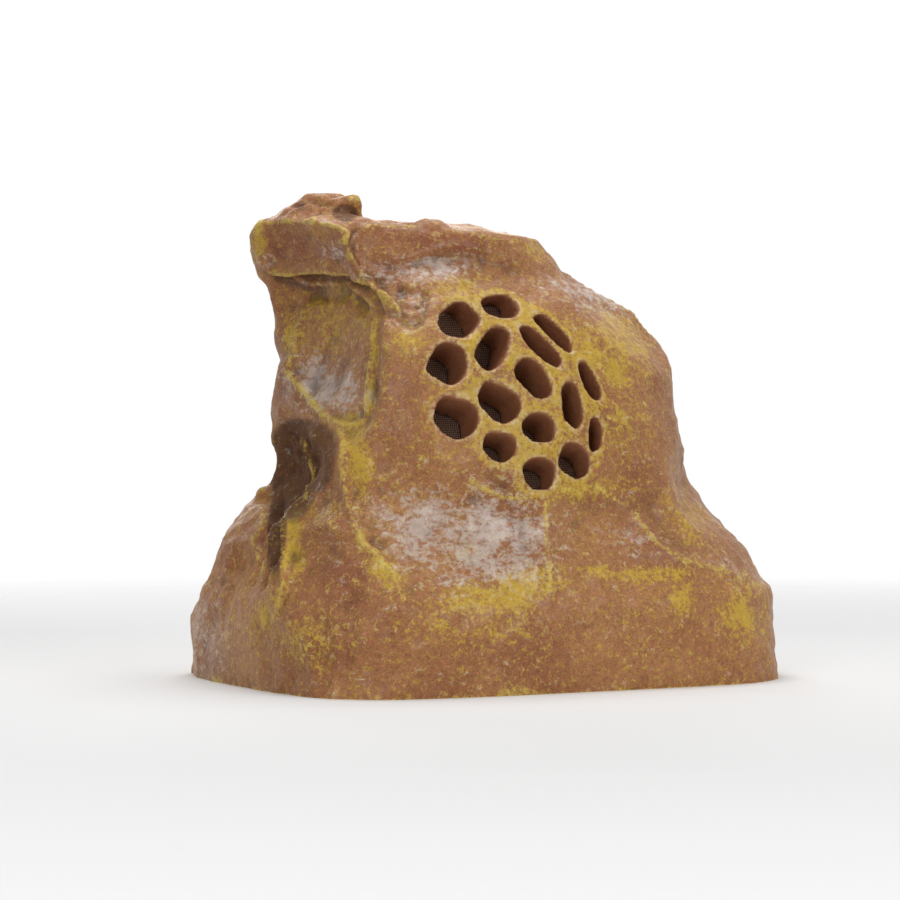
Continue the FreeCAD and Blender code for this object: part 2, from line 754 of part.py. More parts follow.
FORMER_TOP = f"({FRONT} - dims.cone_depth + 0.8)"
former_bore = "dims.former_diameter"
former_outside = "dims.former_diameter + 2 * dims.former_wall"
keep(ring("former_body", former_outside, former_bore, f"{FORMER_TOP} - dims.former_length", FORMER_TOP),
     "coil_former", DRIVER)
COIL_MIDDLE = f"({BACK} - dims.top_plate_thickness / 2)"
keep(ring("coil_body", f"{former_outside} + 0.04 + 2 * dims.coil_thickness", f"{former_outside} + 0.04",
          f"{COIL_MIDDLE} - dims.coil_length / 2", f"{COIL_MIDDLE} + dims.coil_length / 2"), "voice_coil", DRIVER)

SPIDER_REACH = "(dims.seat_bore / 2)"
wave_shares = ((0.25, 0), (0.38, 1), (0.51, -1), (0.64, 1), (0.77, -1), (0.9, 0))
spider_top = []
spider_bottom = []
for share, side in wave_shares:
    across = f"{NECK} + 0.05 + ({SPIDER_REACH} - {NECK}) * {share}"
    spider_bottom.append((across, f"{SPIDER_SEAT} + dims.spider_wave * {side}"))
    spider_top.append((across, f"{SPIDER_SEAT} + dims.spider_thickness + dims.spider_wave * {side}"))
spider_points = [(f"{NECK} + 0.05", f"{SPIDER_SEAT} + dims.spider_thickness"), (f"{NECK} + 0.05", SPIDER_SEAT)]
spider_points += spider_bottom
spider_edge = "dims.seat_diameter / 2 - dims.basket_wall - 0.3"
spider_points += [(spider_edge, SPIDER_SEAT), (spider_edge, f"{SPIDER_SEAT} + dims.spider_thickness")]
spider_points += spider_top[::-1]
keep(turned("spider_body", spider_points), "spider", DRIVER)

keep(ring("top_plate_body", "dims.steel_diameter", "dims.gap_diameter", MAGNET_TOP, BACK), "top_plate", DRIVER)
keep(ring("magnet_body", "dims.magnet_diameter", "dims.magnet_bore", MAGNET_BACK, MAGNET_TOP), "magnet", DRIVER)
keep(turned("yoke_body", (
    ("0", f"{MAGNET_BACK} - dims.yoke_thickness"),
    ("dims.steel_diameter / 2 - 2", f"{MAGNET_BACK} - dims.yoke_thickness"),
    ("dims.steel_diameter / 2", f"{MAGNET_BACK} - dims.yoke_thickness + 2"),
    ("dims.steel_diameter / 2", MAGNET_BACK),
    ("dims.pole_diameter / 2", MAGNET_BACK),
    ("dims.pole_diameter / 2", f"{BACK} + 0.5"),
    ("0", f"{BACK} + 0.5"),
)), "yoke", DRIVER)

driver_inserts = []
driver_screws = []
grip = "dims.flange_thickness + dims.spacer_thickness + dims.screen_thickness"
for i, (x, y) in enumerate(bolt_places(), start=1):
    sleeve = cylinder(f"driver_sleeve_{i}", "dims.driver_insert_diameter / 2", "dims.driver_insert_length", placed(x, y, 0))
    bore = cylinder(f"driver_sleeve_bore_{i}", "dims.driver_screw_diameter / 2 + 0.1", "dims.driver_insert_length + 2",
                    placed(x, y, -1))
    driver_inserts.append(cut(f"driver_insert_{i}", sleeve, bore))
    flange_back = front_level - size("flange_thickness")
    shank = cylinder(f"driver_shank_{i}", "dims.driver_screw_diameter / 2",
                     f"{grip} + dims.driver_insert_length - 1", placed(x, y, flange_back))
    head = cylinder(f"driver_head_{i}", "dims.driver_head_diameter / 2", "dims.driver_head_height",
                    placed(x, y, flange_back - size("driver_head_height")))
    driver_screws.append(fuse(f"driver_screw_{i}", shank, head))
keep(group("driver_insert_set", *driver_inserts), "driver_inserts", DRIVER)
keep(group("driver_screw_set", *driver_screws), "driver_screws", DRIVER)


# The terminals on the basket, the block on the base plate and the two leads between them

board_middle = (back_level + front_level - size("spider_depth") + size("flange_thickness")) / 2
seat_reach = size("seat_diameter") / 2
board_blank = box("board_blank", "dims.board_width", "dims.board_thickness + 3", "dims.board_height",
                  placed(-size("board_width") / 2, -seat_reach - size("board_thickness"),
                         board_middle - size("board_height") / 2))
board_seat = cylinder("board_seat", "dims.seat_diameter / 2", "dims.board_height + 4",
                      placed(0, 0, board_middle - size("board_height") / 2 - 2))
keep(cut("board_cut", board_blank, board_seat), "terminal_board", DRIVER)

tabs = []
for side in (-1, 1):
    tabs.append(box(f"tab_{'left' if side < 0 else 'right'}", "dims.tab_width", "dims.tab_length", "dims.tab_thickness",
                    placed(side * size("tab_spacing") / 2 - size("tab_width") / 2,
                           -seat_reach - size("board_thickness") - size("tab_length"),
                           board_middle - size("tab_thickness") / 2)))
keep(group("tab_set", *tabs), "terminal_tabs", DRIVER)

block_front = size("block_setback") - size("block_depth") / 2
block_middle = PLATE_TOP + size("block_height") / 2
block_blank = box("block_blank", "dims.block_width", "dims.block_depth", "dims.block_height",
                  placed(-size("block_width") / 2, block_front, PLATE_TOP))
block_tools = []
block_screws = []
for side in (-1, 1):
    x = side * size("block_spacing") / 2
    level = FreeCAD.Rotation(vector(1, 0, 0), -90)
    way = cylinder(f"block_way_{side + 2}", "dims.lead_diameter / 2 + 0.3", "dims.block_depth + 2",
                   placed(x, block_front - 1, block_middle, level))
    socket = cylinder(f"block_socket_{side + 2}", "dims.block_screw_diameter / 2 + 0.1", "dims.block_height / 2 + 1",
                      placed(x, size("block_setback"), block_middle))
    block_tools.append(fuse(f"block_tool_{side + 2}", way, socket))
    block_screws.append(cylinder(f"block_screw_{side + 2}", "dims.block_screw_diameter / 2",
                                 "dims.block_height / 2 - dims.lead_diameter / 2 - 1",
                                 placed(x, size("block_setback"), block_middle + size("lead_diameter") / 2 + 0.2)))
keep(cut("block_cut", block_blank, group("block_tools", *block_tools)), "terminal_block")
keep(group("block_screw_set", *block_screws), "block_screws")


def rounded_path(corners):
    """A wire of straight runs joined by arcs as large as the runs leave room for."""
    edges = []
    start = corners[0]
    for before, corner, after in zip(corners, corners[1:], corners[2:]):
        back = (before - corner).normalize()
        ahead = (after - corner).normalize()
        half_turn = (math.pi - math.acos(back.dot(ahead))) / 2
        room = 0.42 * min(before.distanceToPoint(corner), after.distanceToPoint(corner))
        radius = room / math.tan(half_turn)
        middle = corner + (back + ahead).normalize() * (radius / math.cos(half_turn))
        arc_middle = middle + (corner - middle).normalize() * radius
        edges.append(Part.makeLine(start, corner + back * room))
        edges.append(Part.Arc(corner + back * room, arc_middle, corner + ahead * room).toShape())
        start = corner + ahead * room
    edges.append(Part.makeLine(start, corners[-1]))
    return Part.Wire(edges)


def lead(name, side):
    """One lead, from the end of a terminal tab down and back into its way through the block."""
    tab_end = on_driver(side * size("tab_spacing") / 2, -seat_reach - size("board_thickness") - size("tab_length"),
                        board_middle)
    down = DRIVER.Rotation.multVec(vector(0, -1, 0))
    start = tab_end.Base
    end_x = side * size("block_spacing") / 2
    rest = PLATE_TOP + size("lead_diameter") / 2 + 0.3
    corners = (start, start + down * 28, vector(end_x - 5, -66, rest + 31), vector(end_x - 9, -34, rest + 3),
               vector(end_x - 4, 12, rest), vector(end_x, 46, block_middle - 1),
               vector(end_x, block_front + 5, block_middle))
    path = rounded_path(corners)
    outline = Part.Wire(Part.makeCircle(size("lead_diameter") / 2, start, down))
    return solid_of(name, path.makePipeShell([outline], True, False))


keep(lead("lead_left", -1), "lead_red")
keep(lead("lead_right", 1), "lead_black")


# The cable gland: seal and body outside the wall, locknut inside, rubber and nut over the body's barrel

seal_top = size("gland_seal_thickness")
flange_top = seal_top + size("gland_flange")
barrel_top = flange_top + size("gland_barrel")
THREAD = "dims.gland_thread / 2 - 0.1"
keep(ring("seal_body", "dims.gland_across + 1", "dims.gland_thread + 0.4", "0 * dims.gland_across",
          "dims.gland_seal_thickness"), "gland_seal", GLAND)

body_flange = hexagon("body_flange", "dims.gland_across", "dims.gland_flange", placed(0, 0, seal_top))
body_tail = cylinder("body_tail", THREAD, "dims.gland_tail + dims.gland_seal_thickness + 1",
                     placed(0, 0, -size("gland_tail")))
body_barrel = cylinder("body_barrel", "dims.gland_thread / 2 + 0.6", "dims.gland_barrel + 1", placed(0, 0, flange_top - 1))
body_bore = cylinder("body_bore", "dims.cable_bore / 2 + 1.6", "dims.gland_tail * 3", placed(0, 0, -size("gland_tail") - 1))
rubber_seat = cylinder("rubber_seat", "dims.cable_bore / 2 + 3.2", "dims.gland_barrel * 2", placed(0, 0, flange_top - 1))
keep(cut("gland_body_cut", fuse("gland_body_blank", body_flange, body_tail, body_barrel),
         fuse("gland_body_bores", body_bore, rubber_seat)), "gland_body", GLAND)

RUBBER_BOTTOM = "dims.gland_seal_thickness + dims.gland_flange - 0.9"
keep(ring("rubber_body", "dims.cable_bore + 6.2", "dims.cable_bore", RUBBER_BOTTOM,
          RUBBER_BOTTOM + " + dims.gland_barrel + 1.9"), "gland_insert", GLAND)

nut_blank = hexagon("nut_blank", "dims.gland_across - 2", "dims.gland_nut_length", placed(0, 0, flange_top + 0.3))
nut_bore = cylinder("nut_bore", "dims.gland_thread / 2 + 0.7", "dims.gland_barrel + 1.3", placed(0, 0, flange_top - 0.2))
nut_eye = cylinder("nut_eye", "dims.cable_bore / 2 + 1.8", "dims.gland_nut_length * 2", placed(0, 0, flange_top))
keep(cut("nut_cut", nut_blank, fuse("nut_bores", nut_bore, nut_eye)), "gland_nut", GLAND)

locknut_blank = hexagon("locknut_blank", "dims.gland_across", "dims.gland_flange + 1",
                        placed(0, 0, -size("gland_wall") - size("gland_flange") - 1))
locknut_bore = cylinder("locknut_bore", "dims.gland_thread / 2", "dims.gland_flange + 4",
                        placed(0, 0, -size("gland_wall") - size("gland_flange") - 2))
keep(cut("locknut_cut", locknut_blank, locknut_bore), "gland_locknut", GLAND)


# Check every object, then write one file for each piece

doc.recompute()
faults = []
for item in doc.Objects:
    if "Invalid" in item.State or "Error" in item.State:
        faults.append(f"{item.Label}: {item.State}")
for item in pieces:
    if item.Shape.isNull() or not item.Shape.isValid() or not item.Shape.Solids:
        faults.append(f"{item.Label}: bad shape")
if faults:
    raise RuntimeError("; ".join(faults))
os.makedirs("parts", exist_ok=True)
for item in pieces:
    item.Shape.exportStep(f"parts/{item.Label}.step")
    bounds = item.Shape.BoundBox
    print(f"{item.Label}: {len(item.Shape.Solids)} solid(s), {item.Shape.Volume / 1000:.2f} cm3, "
          f"x {bounds.XMin:.1f}..{bounds.XMax:.1f} y {bounds.YMin:.1f}..{bounds.YMax:.1f} "
          f"z {bounds.ZMin:.1f}..{bounds.ZMax:.1f}")
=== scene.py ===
"""Garden speaker in a moulded boulder: the painted rock, the woven screen behind its sound holes, the driver,
the base and the cable gland, on a pale floor under soft studio light. Metres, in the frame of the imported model.
"""
import bmesh
import bpy
import json
import math
import numpy as np
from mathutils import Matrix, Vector, bvhtree, noise


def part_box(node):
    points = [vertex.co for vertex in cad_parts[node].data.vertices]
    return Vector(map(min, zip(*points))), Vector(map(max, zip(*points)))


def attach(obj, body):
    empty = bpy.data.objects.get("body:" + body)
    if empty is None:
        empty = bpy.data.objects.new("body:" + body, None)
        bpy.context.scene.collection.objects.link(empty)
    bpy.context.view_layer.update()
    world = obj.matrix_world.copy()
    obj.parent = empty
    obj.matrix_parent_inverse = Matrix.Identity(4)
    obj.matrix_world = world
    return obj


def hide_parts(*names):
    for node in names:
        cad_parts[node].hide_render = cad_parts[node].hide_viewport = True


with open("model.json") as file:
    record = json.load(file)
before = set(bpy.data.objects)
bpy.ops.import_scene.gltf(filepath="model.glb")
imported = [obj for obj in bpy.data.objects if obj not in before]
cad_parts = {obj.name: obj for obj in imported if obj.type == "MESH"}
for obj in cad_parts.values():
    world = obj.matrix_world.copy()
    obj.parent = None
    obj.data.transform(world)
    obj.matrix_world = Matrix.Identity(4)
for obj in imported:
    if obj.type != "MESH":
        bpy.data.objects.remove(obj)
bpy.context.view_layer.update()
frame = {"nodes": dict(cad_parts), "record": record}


# The rock shell, its form: a hollow boulder moulded in filled resin, open below, with sixteen slanting sound
# holes in its front. The solid's facets are worn smooth here, then the ridges, ledges, cracks, lumps and chipped
# hollows of the mould are worked in.

FIRST_SKIN_STEP = 0.003
SKIN_STEP = 0.0019
SKIN_TRIANGLES = 185000
LEAST_WALL = 0.003
SHARP_ANGLE = 55
WEAR_STEPS = (0.55, -0.565)
WEAR_ROUNDS = 4
NEAR = 1e-4
RIM_LEVEL = 1e-3
ROCK_BELOW_RIM = 0.03
CAVITY_BELOW_RIM = 0.006
CAVITY_PAST_SEAT = 0.003
SPEAKER_AXIS = Vector(frame["record"]["behaviour"]["joints"][0]["axis"]).normalized()
SPEAKER_SIDE = Vector((1, 0, 0))
SPEAKER_UP = SPEAKER_AXIS.cross(SPEAKER_SIDE)
PAD_LEVEL = max(v.co.dot(SPEAKER_AXIS) for v in frame["nodes"]["mesh_screen"].data.vertices)
SCREEN_POINTS = np.array([v.co for v in frame["nodes"]["mesh_screen"].data.vertices])
SPEAKER_MIDDLE = [(SCREEN_POINTS @ np.array(way)).min() / 2 + (SCREEN_POINTS @ np.array(way)).max() / 2
                  for way in (SPEAKER_SIDE, SPEAKER_UP)]
PAD_ROOM = 0.006
GRILLE_WIDTH = 0.138
GRILLE_SHARE = GRILLE_WIDTH / 200
HOLE_SHARE = 0.9
HOLE_CORNERS = 48
HOLE_START = 0.004
HOLE_LENGTH = 0.08
FAR_FROM_HOLES = 9
GLAND_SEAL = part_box("gland_seal")
GLAND_SEAT = GLAND_SEAL[0].y
GLAND_LEVEL = (GLAND_SEAL[0].z + GLAND_SEAL[1].z) / 2
GLAND_HOLE = 0.0095
BOSS_EDGE = (0.019, 0.03)
BOSS_FROM = 0.09
ROCK_LOW, ROCK_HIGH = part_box("rock_shell")

# The camera, as the picture gives it: lengths in metres, the focus and the middle in pixels.
PICTURE = 900
VIEW_TURN = math.radians(-28)
VIEW_DISTANCE = 2.2
VIEW_HEIGHT = 0.184
VIEW_FOCUS = 3234
VIEW_MIDDLE = (482, 405)
AHEAD = Vector((-math.sin(VIEW_TURN), math.cos(VIEW_TURN), 0))
ASIDE = Vector((math.cos(VIEW_TURN), math.sin(VIEW_TURN), 0))
UP = Vector((0, 0, 1))
EYE = UP * VIEW_HEIGHT - AHEAD * VIEW_DISTANCE

# The sound holes, in percent of half the grille's width: the place across and up from the driver's axis, the
# long and the short way of the oval, and its turn in degrees.
SOUND_HOLES = (
    (-49, 72, 51, 36, 37), (0, 88, 41, 30, 5), (48, 59, 53, 20, 125), (29, 43, 57, 22, 129),
    (-71, 26, 46, 39, 58), (-22, 41, 57, 29, 52), (14, 10, 47, 32, 124), (-25, -13, 48, 37, 147),
    (-70, -26, 47, 40, 160), (52, -16, 49, 24, 90), (77, 9, 44, 19, 109), (13, -38, 37, 30, 177),
    (-29, -54, 36, 28, 166), (75, -43, 36, 16, 82), (10, -80, 36, 32, 0), (49, -68, 37, 33, 163),
)

# Lines of the rock: how far the line stands out (a ridge) or in (a crack) and its width, in millimetres, then its
# course in the picture's pixels. A ledge steps out on its upper or left side and in on the other.
RIDGES = {
    "scoop edge": (4.2, 2.6, (373, 312), (376, 330), (374, 350), (371, 370), (368, 390), (367, 412),
                   (362, 421)),
    "scoop lip": (4.6, 2.8, (362, 421), (350, 425), (337, 424), (325, 416), (312, 403), (300, 388),
                  (290, 375), (283, 364)),
    "corner upper": (4.0, 3.0, (337, 424), (342, 440), (341, 462), (344, 480), (348, 500), (355, 525)),
    "corner lower": (3.8, 3.4, (355, 525), (365, 545), (378, 557), (392, 575), (402, 600)),
    "undercut left": (2.4, 2.2, (281, 474), (290, 456), (303, 437)),
    "undercut right": (2.6, 2.2, (303, 437), (310, 462), (313, 480), (306, 497), (295, 508), (285, 513)),
    "foot edge": (6.0, 2.8, (285, 513), (283, 540), (284, 566), (288, 586), (281, 606), (270, 622)),
    "foot outer": (2.6, 3.0, (262, 500), (263, 522), (256, 545), (262, 566), (250, 590)),
    "front rib": (1.5, 3.0, (544, 496), (546, 520), (547, 545), (549, 572), (549, 600)),
    "grille foot": (1.4, 3.4, (462, 474), (480, 487), (503, 497), (528, 499), (560, 490), (590, 487),
                    (608, 494), (626, 507)),
    "right run": (1.5, 3.4, (626, 507), (642, 524), (660, 548), (690, 562), (722, 570), (752, 580)),
    "head top": (2.0, 2.4, (262, 225), (285, 221), (312, 222), (338, 226), (353, 233)),
    "panel top": (1.0, 2.4, (360, 228), (395, 225), (430, 227), (462, 235), (500, 241), (528, 242)),
    "shoulder line": (1.0, 2.2, (647, 338), (648, 360), (645, 386)),
    "brow line": (1.6, 2.0, (258, 262), (268, 271), (290, 272), (320, 271), (348, 273), (362, 280),
                  (378, 293), (396, 310)),
    "panel left": (1.8, 2.2, (303, 306), (299, 322), (296, 340), (290, 356), (283, 364)),
    "head end": (1.4, 2.4, (256, 226), (262, 240), (260, 256), (266, 270)),
}
LEDGES = {
    "head brow": (8.0, 2.0, (260, 266), (275, 276), (300, 275), (330, 274), (352, 277), (368, 287),
                  (386, 302), (402, 318), (411, 328)),
    "stratum": (5.6, 1.8, (286, 280), (308, 288), (330, 287), (340, 285), (354, 294), (366, 303),
                (373, 312)),
    "panel foot": (4.0, 3.0, (372, 258), (400, 263), (428, 256), (455, 250), (480, 254), (505, 262),
                   (530, 272)),
    "foot shelf": (2.0, 3.0, (205, 577), (222, 578), (240, 584), (254, 590)),
}
CRACKS = {
    "head split": (4.0, 2.0, (357, 224), (352, 240), (354, 256), (360, 272)),
    "panel split": (1.6, 1.5, (477, 232), (483, 244), (487, 256)),
    "crevice": (7.5, 3.6, (277, 492), (280, 512), (279, 535), (272, 560), (262, 588)),
    "pocket left": (3.4, 2.6, (376, 276), (388, 290), (398, 306), (409, 322)),
    "pocket right": (3.0, 2.6, (425, 288), (425, 305), (420, 322), (409, 326)),
    "valley": (1.4, 7.0, (641, 492), (655, 515), (672, 540), (695, 556)),
    "skirt nick": (1.0, 1.4, (556, 641), (559, 646)),
    "grille hollow": (1.6, 3.4, (484, 470), (492, 478), (500, 486), (512, 492)),
    "brow gap": (4.0, 2.4, (300, 282), (322, 281), (342, 281), (354, 286)),
}

# Craggy places, in the same pixels: the middle across and down, half width, half height, and how rough.
CRAGS = (
    (325, 206, 44, 16, 2.4), (406, 298, 22, 26, 3.4), (335, 282, 34, 8, 1.6), (268, 540, 14, 48, 2.0),
    (342, 252, 14, 20, 1.4), (432, 222, 40, 7, 1.4), (258, 245, 10, 24, 1.2), (302, 460, 26, 40, 1.2),
    (230, 560, 22, 26, 1.0), (590, 296, 56, 14, 0.9), (455, 545, 70, 42, 0.8), (330, 390, 34, 24, 0.9),
)

# Small lumps and hollows: the place across and down in the same pixels, the reach and the height in millimetres.
LUMPS = (
    (352, 207, 7, 6.5), (338, 201, 7, 3), (432, 224, 9, 3), (262, 236, 8, 2), (264, 492, 6, 4),
    (330, 350, 26, -4), (322, 385, 22, -4), (292, 455, 18, -4), (318, 448, 14, -3),
    (262, 560, 12, -3), (490, 535, 32, -2.5),
)

# Lines on the sides that the picture doesn't show: height and width in metres.
BACK_RIDGE = (0.0017, 0.0034)
BACK_CRACK = (-0.0019, 0.0026)

# Relief all over: the height in metres of the rolls, the grain and the crags, then the scallops by size: how many
# in a metre, their mean height as noise, their height in metres, and how much less of it the plain front has.
ROLL_HEIGHT = 0.0011
GRAIN_HEIGHT = 0.0005
CRAG_HEIGHT = 0.0013
SCALLOPS = ((24, 0.6, 0.0075, 0.0055), (62, 0.5, 0.0026, 0.0014))


def welded(node):
    """A copy of a node's mesh with its corners joined, to cut apart and close again."""
    mesh = bmesh.new()
    mesh.from_mesh(frame["nodes"][node].data)
    bmesh.ops.remove_doubles(mesh, verts=mesh.verts, dist=1e-6)
    mesh.normal_update()
    return mesh


def on_pad(face):
    level = face.calc_center_median().dot(SPEAKER_AXIS)
    return abs(level - PAD_LEVEL) < 2 * NEAR and face.normal.dot(SPEAKER_AXIS) < -0.99


def on_ground(face):
    return face.calc_center_median().z < NEAR and face.normal.z < -0.9


def in_gland_hole(face):
    centre = face.calc_center_median()
    return math.hypot(centre.x, centre.z - GLAND_LEVEL) < GLAND_HOLE and 0 < centre.y < GLAND_SEAT - NEAR


def oval_share(points, oval):
    """How far points lie from the middle of a sound hole, seen along the driver's axis: 1 is on its edge."""
    across, up, long, short, turn = oval
    angle = math.radians(turn)
    aside = points @ np.array(SPEAKER_SIDE) - SPEAKER_MIDDLE[0] - across * GRILLE_SHARE
    above = points @ np.array(SPEAKER_UP) - SPEAKER_MIDDLE[1] - up * GRILLE_SHARE
    along = (aside * math.cos(angle) + above * math.sin(angle)) / (long * GRILLE_SHARE / 2)
    square = (above * math.cos(angle) - aside * math.sin(angle)) / (short * GRILLE_SHARE / 2)
    return np.hypot(along, square)


def wall_faces(mesh, faces):
    """The walls of the sound holes: the faces whose corners all lie on the edge of one oval."""
    mesh.verts.index_update()
    points = np.array([corner.co for corner in mesh.verts])
    on_edge = np.array([abs(oval_share(points, oval) - 1) < 0.01 for oval in SOUND_HOLES])
    return {face for face in faces if on_edge[:, [corner.index for corner in face.verts]].all(1).any()}


def wobble(angle, turn):
    """The holes were cut by hand in the pattern, so their edges waver."""
    return HOLE_SHARE * (1 + 0.045 * math.sin(3 * angle + turn) + 0.03 * math.sin(5 * angle + 2 * turn))


def squared(share):
    """Fill out an oval towards a rounded box."""
    return math.copysign(abs(share) ** 0.8, share)


def hole_tool():
    """Sixteen closed prisms, from just behind the pad to well in front of the rock."""
    mesh = bmesh.new()
    turns = [2 * math.pi * k / HOLE_CORNERS for k in range(HOLE_CORNERS)]
    for across, up, long, short, turn in SOUND_HOLES:
        angle = math.radians(turn)
        middle = SPEAKER_SIDE * (SPEAKER_MIDDLE[0] + across * GRILLE_SHARE)
        middle += SPEAKER_UP * (SPEAKER_MIDDLE[1] + up * GRILLE_SHARE) + SPEAKER_AXIS * (PAD_LEVEL - HOLE_START)
        along = (SPEAKER_SIDE * math.cos(angle) + SPEAKER_UP * math.sin(angle)) * (long * GRILLE_SHARE / 2)
        square = (SPEAKER_UP * math.cos(angle) - SPEAKER_SIDE * math.sin(angle)) * (short * GRILLE_SHARE / 2)
        ring = []
        for t in turns:
            spot = along * squared(math.cos(t)) + square * squared(math.sin(t))
            ring.append(mesh.verts.new(middle + spot * wobble(t, turn)))
        end = mesh.faces.new(ring)
        grown = bmesh.ops.extrude_face_region(mesh, geom=[end], use_keep_orig=True)["geom"]
        corners = [item for item in grown if isinstance(item, bmesh.types.BMVert)]
        bmesh.ops.translate(mesh, verts=corners, vec=SPEAKER_AXIS * HOLE_LENGTH)
    return mesh


def outer_faces(mesh):
    """The faces of the outside, reached from the top without crossing the pad, the rim or the gland's hole."""
    top = max(mesh.faces, key=lambda face: face.calc_center_median().z)
    found = {top}
    edge = [top]
    while edge:
        face = edge.pop()
        for line in face.edges:
            for other in line.link_faces:
                if other not in found and not (on_pad(other) or on_ground(other) or in_gland_hole(other)):
                    found.add(other)
                    edge.append(other)
    return found


def open_loops(mesh):
    """The closed runs of edges that have a face on one side only, in the mesh's own order."""
    left = {line: True for line in mesh.edges if line.is_boundary}
    loops = []
    while left:
        loop = [next(iter(left))]
        del left[loop[0]]
        ends = list(loop[0].verts)
        while ends:
            corner = ends.pop()
            for line in corner.link_edges:
                if line in left:
                    del left[line]
                    loop.append(line)
                    ends.append(line.other_vert(corner))
        loops.append(loop)
    return loops


def draw_out(mesh, loop, way):
    """Extend the mesh from an open run of edges, and close the new end."""
    grown = bmesh.ops.extrude_edge_only(mesh, edges=loop)["geom"]
    corners = [item for item in grown if isinstance(item, bmesh.types.BMVert)]
    bmesh.ops.translate(mesh, verts=corners, vec=way)
    ends = [item for item in grown if isinstance(item, bmesh.types.BMEdge)]
    bmesh.ops.holes_fill(mesh, edges=[line for line in ends if line.is_boundary], sides=0)


def loop_middle(loop):
    corners = {corner for line in loop for corner in line.verts}
    return sum((corner.co for corner in corners), Vector()) / len(corners)


def new_piece(name, mesh):
    """A new object from a bmesh, which is then let go, or from a mesh."""
    data = mesh
    if isinstance(mesh, bmesh.types.BMesh):
        bmesh.ops.recalc_face_normals(mesh, faces=mesh.faces)
        bmesh.ops.triangulate(mesh, faces=[face for face in mesh.faces if len(face.verts) > 4])
        data = bpy.data.meshes.new(name)
        mesh.to_mesh(data)
        mesh.free()
    piece = bpy.data.objects.new(name, data)
    bpy.context.collection.objects.link(piece)
    return piece


def settle(piece):
    """Apply a piece's modifiers to its mesh."""
    graph = bpy.context.evaluated_depsgraph_get()
    result = bpy.data.meshes.new_from_object(piece.evaluated_get(graph))
    old = piece.data
    piece.modifiers.clear()
    piece.data = result
    bpy.data.meshes.remove(old)


def reskin(piece, step):
    """Give a piece an even skin of small quads."""
    skin = piece.modifiers.new("skin", "REMESH")
    skin.mode = "VOXEL"
    skin.voxel_size = step
    settle(piece)


def carve(piece, tool):
    """Take a closed tool out of a piece, and let the tool go."""
    cut = piece.modifiers.new("cut", "BOOLEAN")
    cut.operation = "DIFFERENCE"
    cut.solver = "MANIFOLD"
    cut.object = tool
    settle(piece)
    bpy.data.objects.remove(tool)


def points_of(piece):
    points = np.empty(len(piece.data.vertices) * 3)
    piece.data.vertices.foreach_get("co", points)
    return points.reshape(-1, 3)


def normals_of(piece):
    normals = np.empty(len(piece.data.vertices) * 3, np.float32)
    piece.data.vertex_normals.foreach_get("vector", normals)
    return normals.reshape(-1, 3).astype(float)


def set_points(piece, points):
    piece.data.vertices.foreach_set("co", points.astype(np.float32).ravel())
    piece.data.update()


def edges_of(piece):
    edges = np.empty(len(piece.data.edges) * 2, np.int32)
    piece.data.edges.foreach_get("vertices", edges)
    return edges.reshape(-1, 2)


def averaged(values, edges):
    """The mean of each vertex's neighbours."""
    count = len(values)
    links = np.maximum(np.bincount(edges.ravel(), minlength=count), 1)
    sums = np.empty_like(values)
    for k in range(values.shape[1]):
        sums[:, k] = np.bincount(edges[:, 0], values[edges[:, 1], k], count)
        sums[:, k] += np.bincount(edges[:, 1], values[edges[:, 0], k], count)
    return sums / links[:, None]


def worn(points, edges, rounds, share=None):
    """Wear edges down without shrinking the whole, by steps in and slightly longer steps back out."""
    for step in WEAR_STEPS * rounds:
        moved = step * (averaged(points, edges) - points)
        points = points + (moved if share is None else moved * share[:, None])
    return points


def smooth_step(low, high, value):
    share = np.clip((value - low) / (high - low), 0, 1)
    return share * share * (3 - 2 * share)


def sight(across, down):
    """The direction from the eye through a pixel of the picture."""
    way = AHEAD + ASIDE * ((across - VIEW_MIDDLE[0]) / VIEW_FOCUS) + UP * ((VIEW_MIDDLE[1] - down) / VIEW_FOCUS)
    return way.normalized()


def seen_at(tree, across, down):
    return tree.ray_cast(EYE, sight(across, down))[0]


def traced(tree, course):
    """A line's course laid on the surface, about 1.5 mm from point to point."""
    laid = []
    for (x0, y0), (x1, y1) in zip(course, course[1:]):
        steps = max(2, int(math.hypot(x1 - x0, y1 - y0) / 2))
        for k in range(steps):
            hit = seen_at(tree, x0 + (x1 - x0) * k / steps, y0 + (y1 - y0) * k / steps)
            if hit is not None:
                laid.append(hit)
    return np.array(laid)


def wandering(tree, seed, count):
    """Lines on the sides that the picture doesn't show, running down and across the rock from random places."""
    dice = np.random.default_rng(seed)
    lines = []
    for _ in range(count):
        turn = math.radians(dice.uniform(-40, 155))
        height = dice.uniform(0.07, 0.29)
        lean = dice.uniform(-1.2, 1.2)
        line = []
        for _ in range(int(dice.integers(14, 34))):
            out = Vector((math.cos(turn), math.sin(turn), 0))
            hit = tree.ray_cast(out * 0.6 + UP * height, -out)[0]
            if hit is not None and hit.z > 0.004:
                line.append(hit)
            lean += dice.normal(0, 0.22)
            turn += math.sin(lean) * 0.022
            height -= math.cos(lean) * 0.0035
        if len(line) > 8:
            lines.append(np.array(line))
    return lines


def beside(points, line, reach):
    """The vertices within reach of a line, how far they are from it, and the line's nearest point to each."""
    near = np.flatnonzero(((points > line.min(0) - reach) & (points < line.max(0) + reach)).all(1))
    apart = np.linalg.norm(points[near][:, None] - line[None], axis=2)
    nearest = apart.argmin(1)
    return near, apart[np.arange(len(near)), nearest], nearest


def tapered(line, nearest):
    """Lines fade out towards their ends."""
    share = nearest / max(1, len(line) - 1)
    return smooth_step(0, 0.12, share) * smooth_step(0, 0.12, 1 - share)


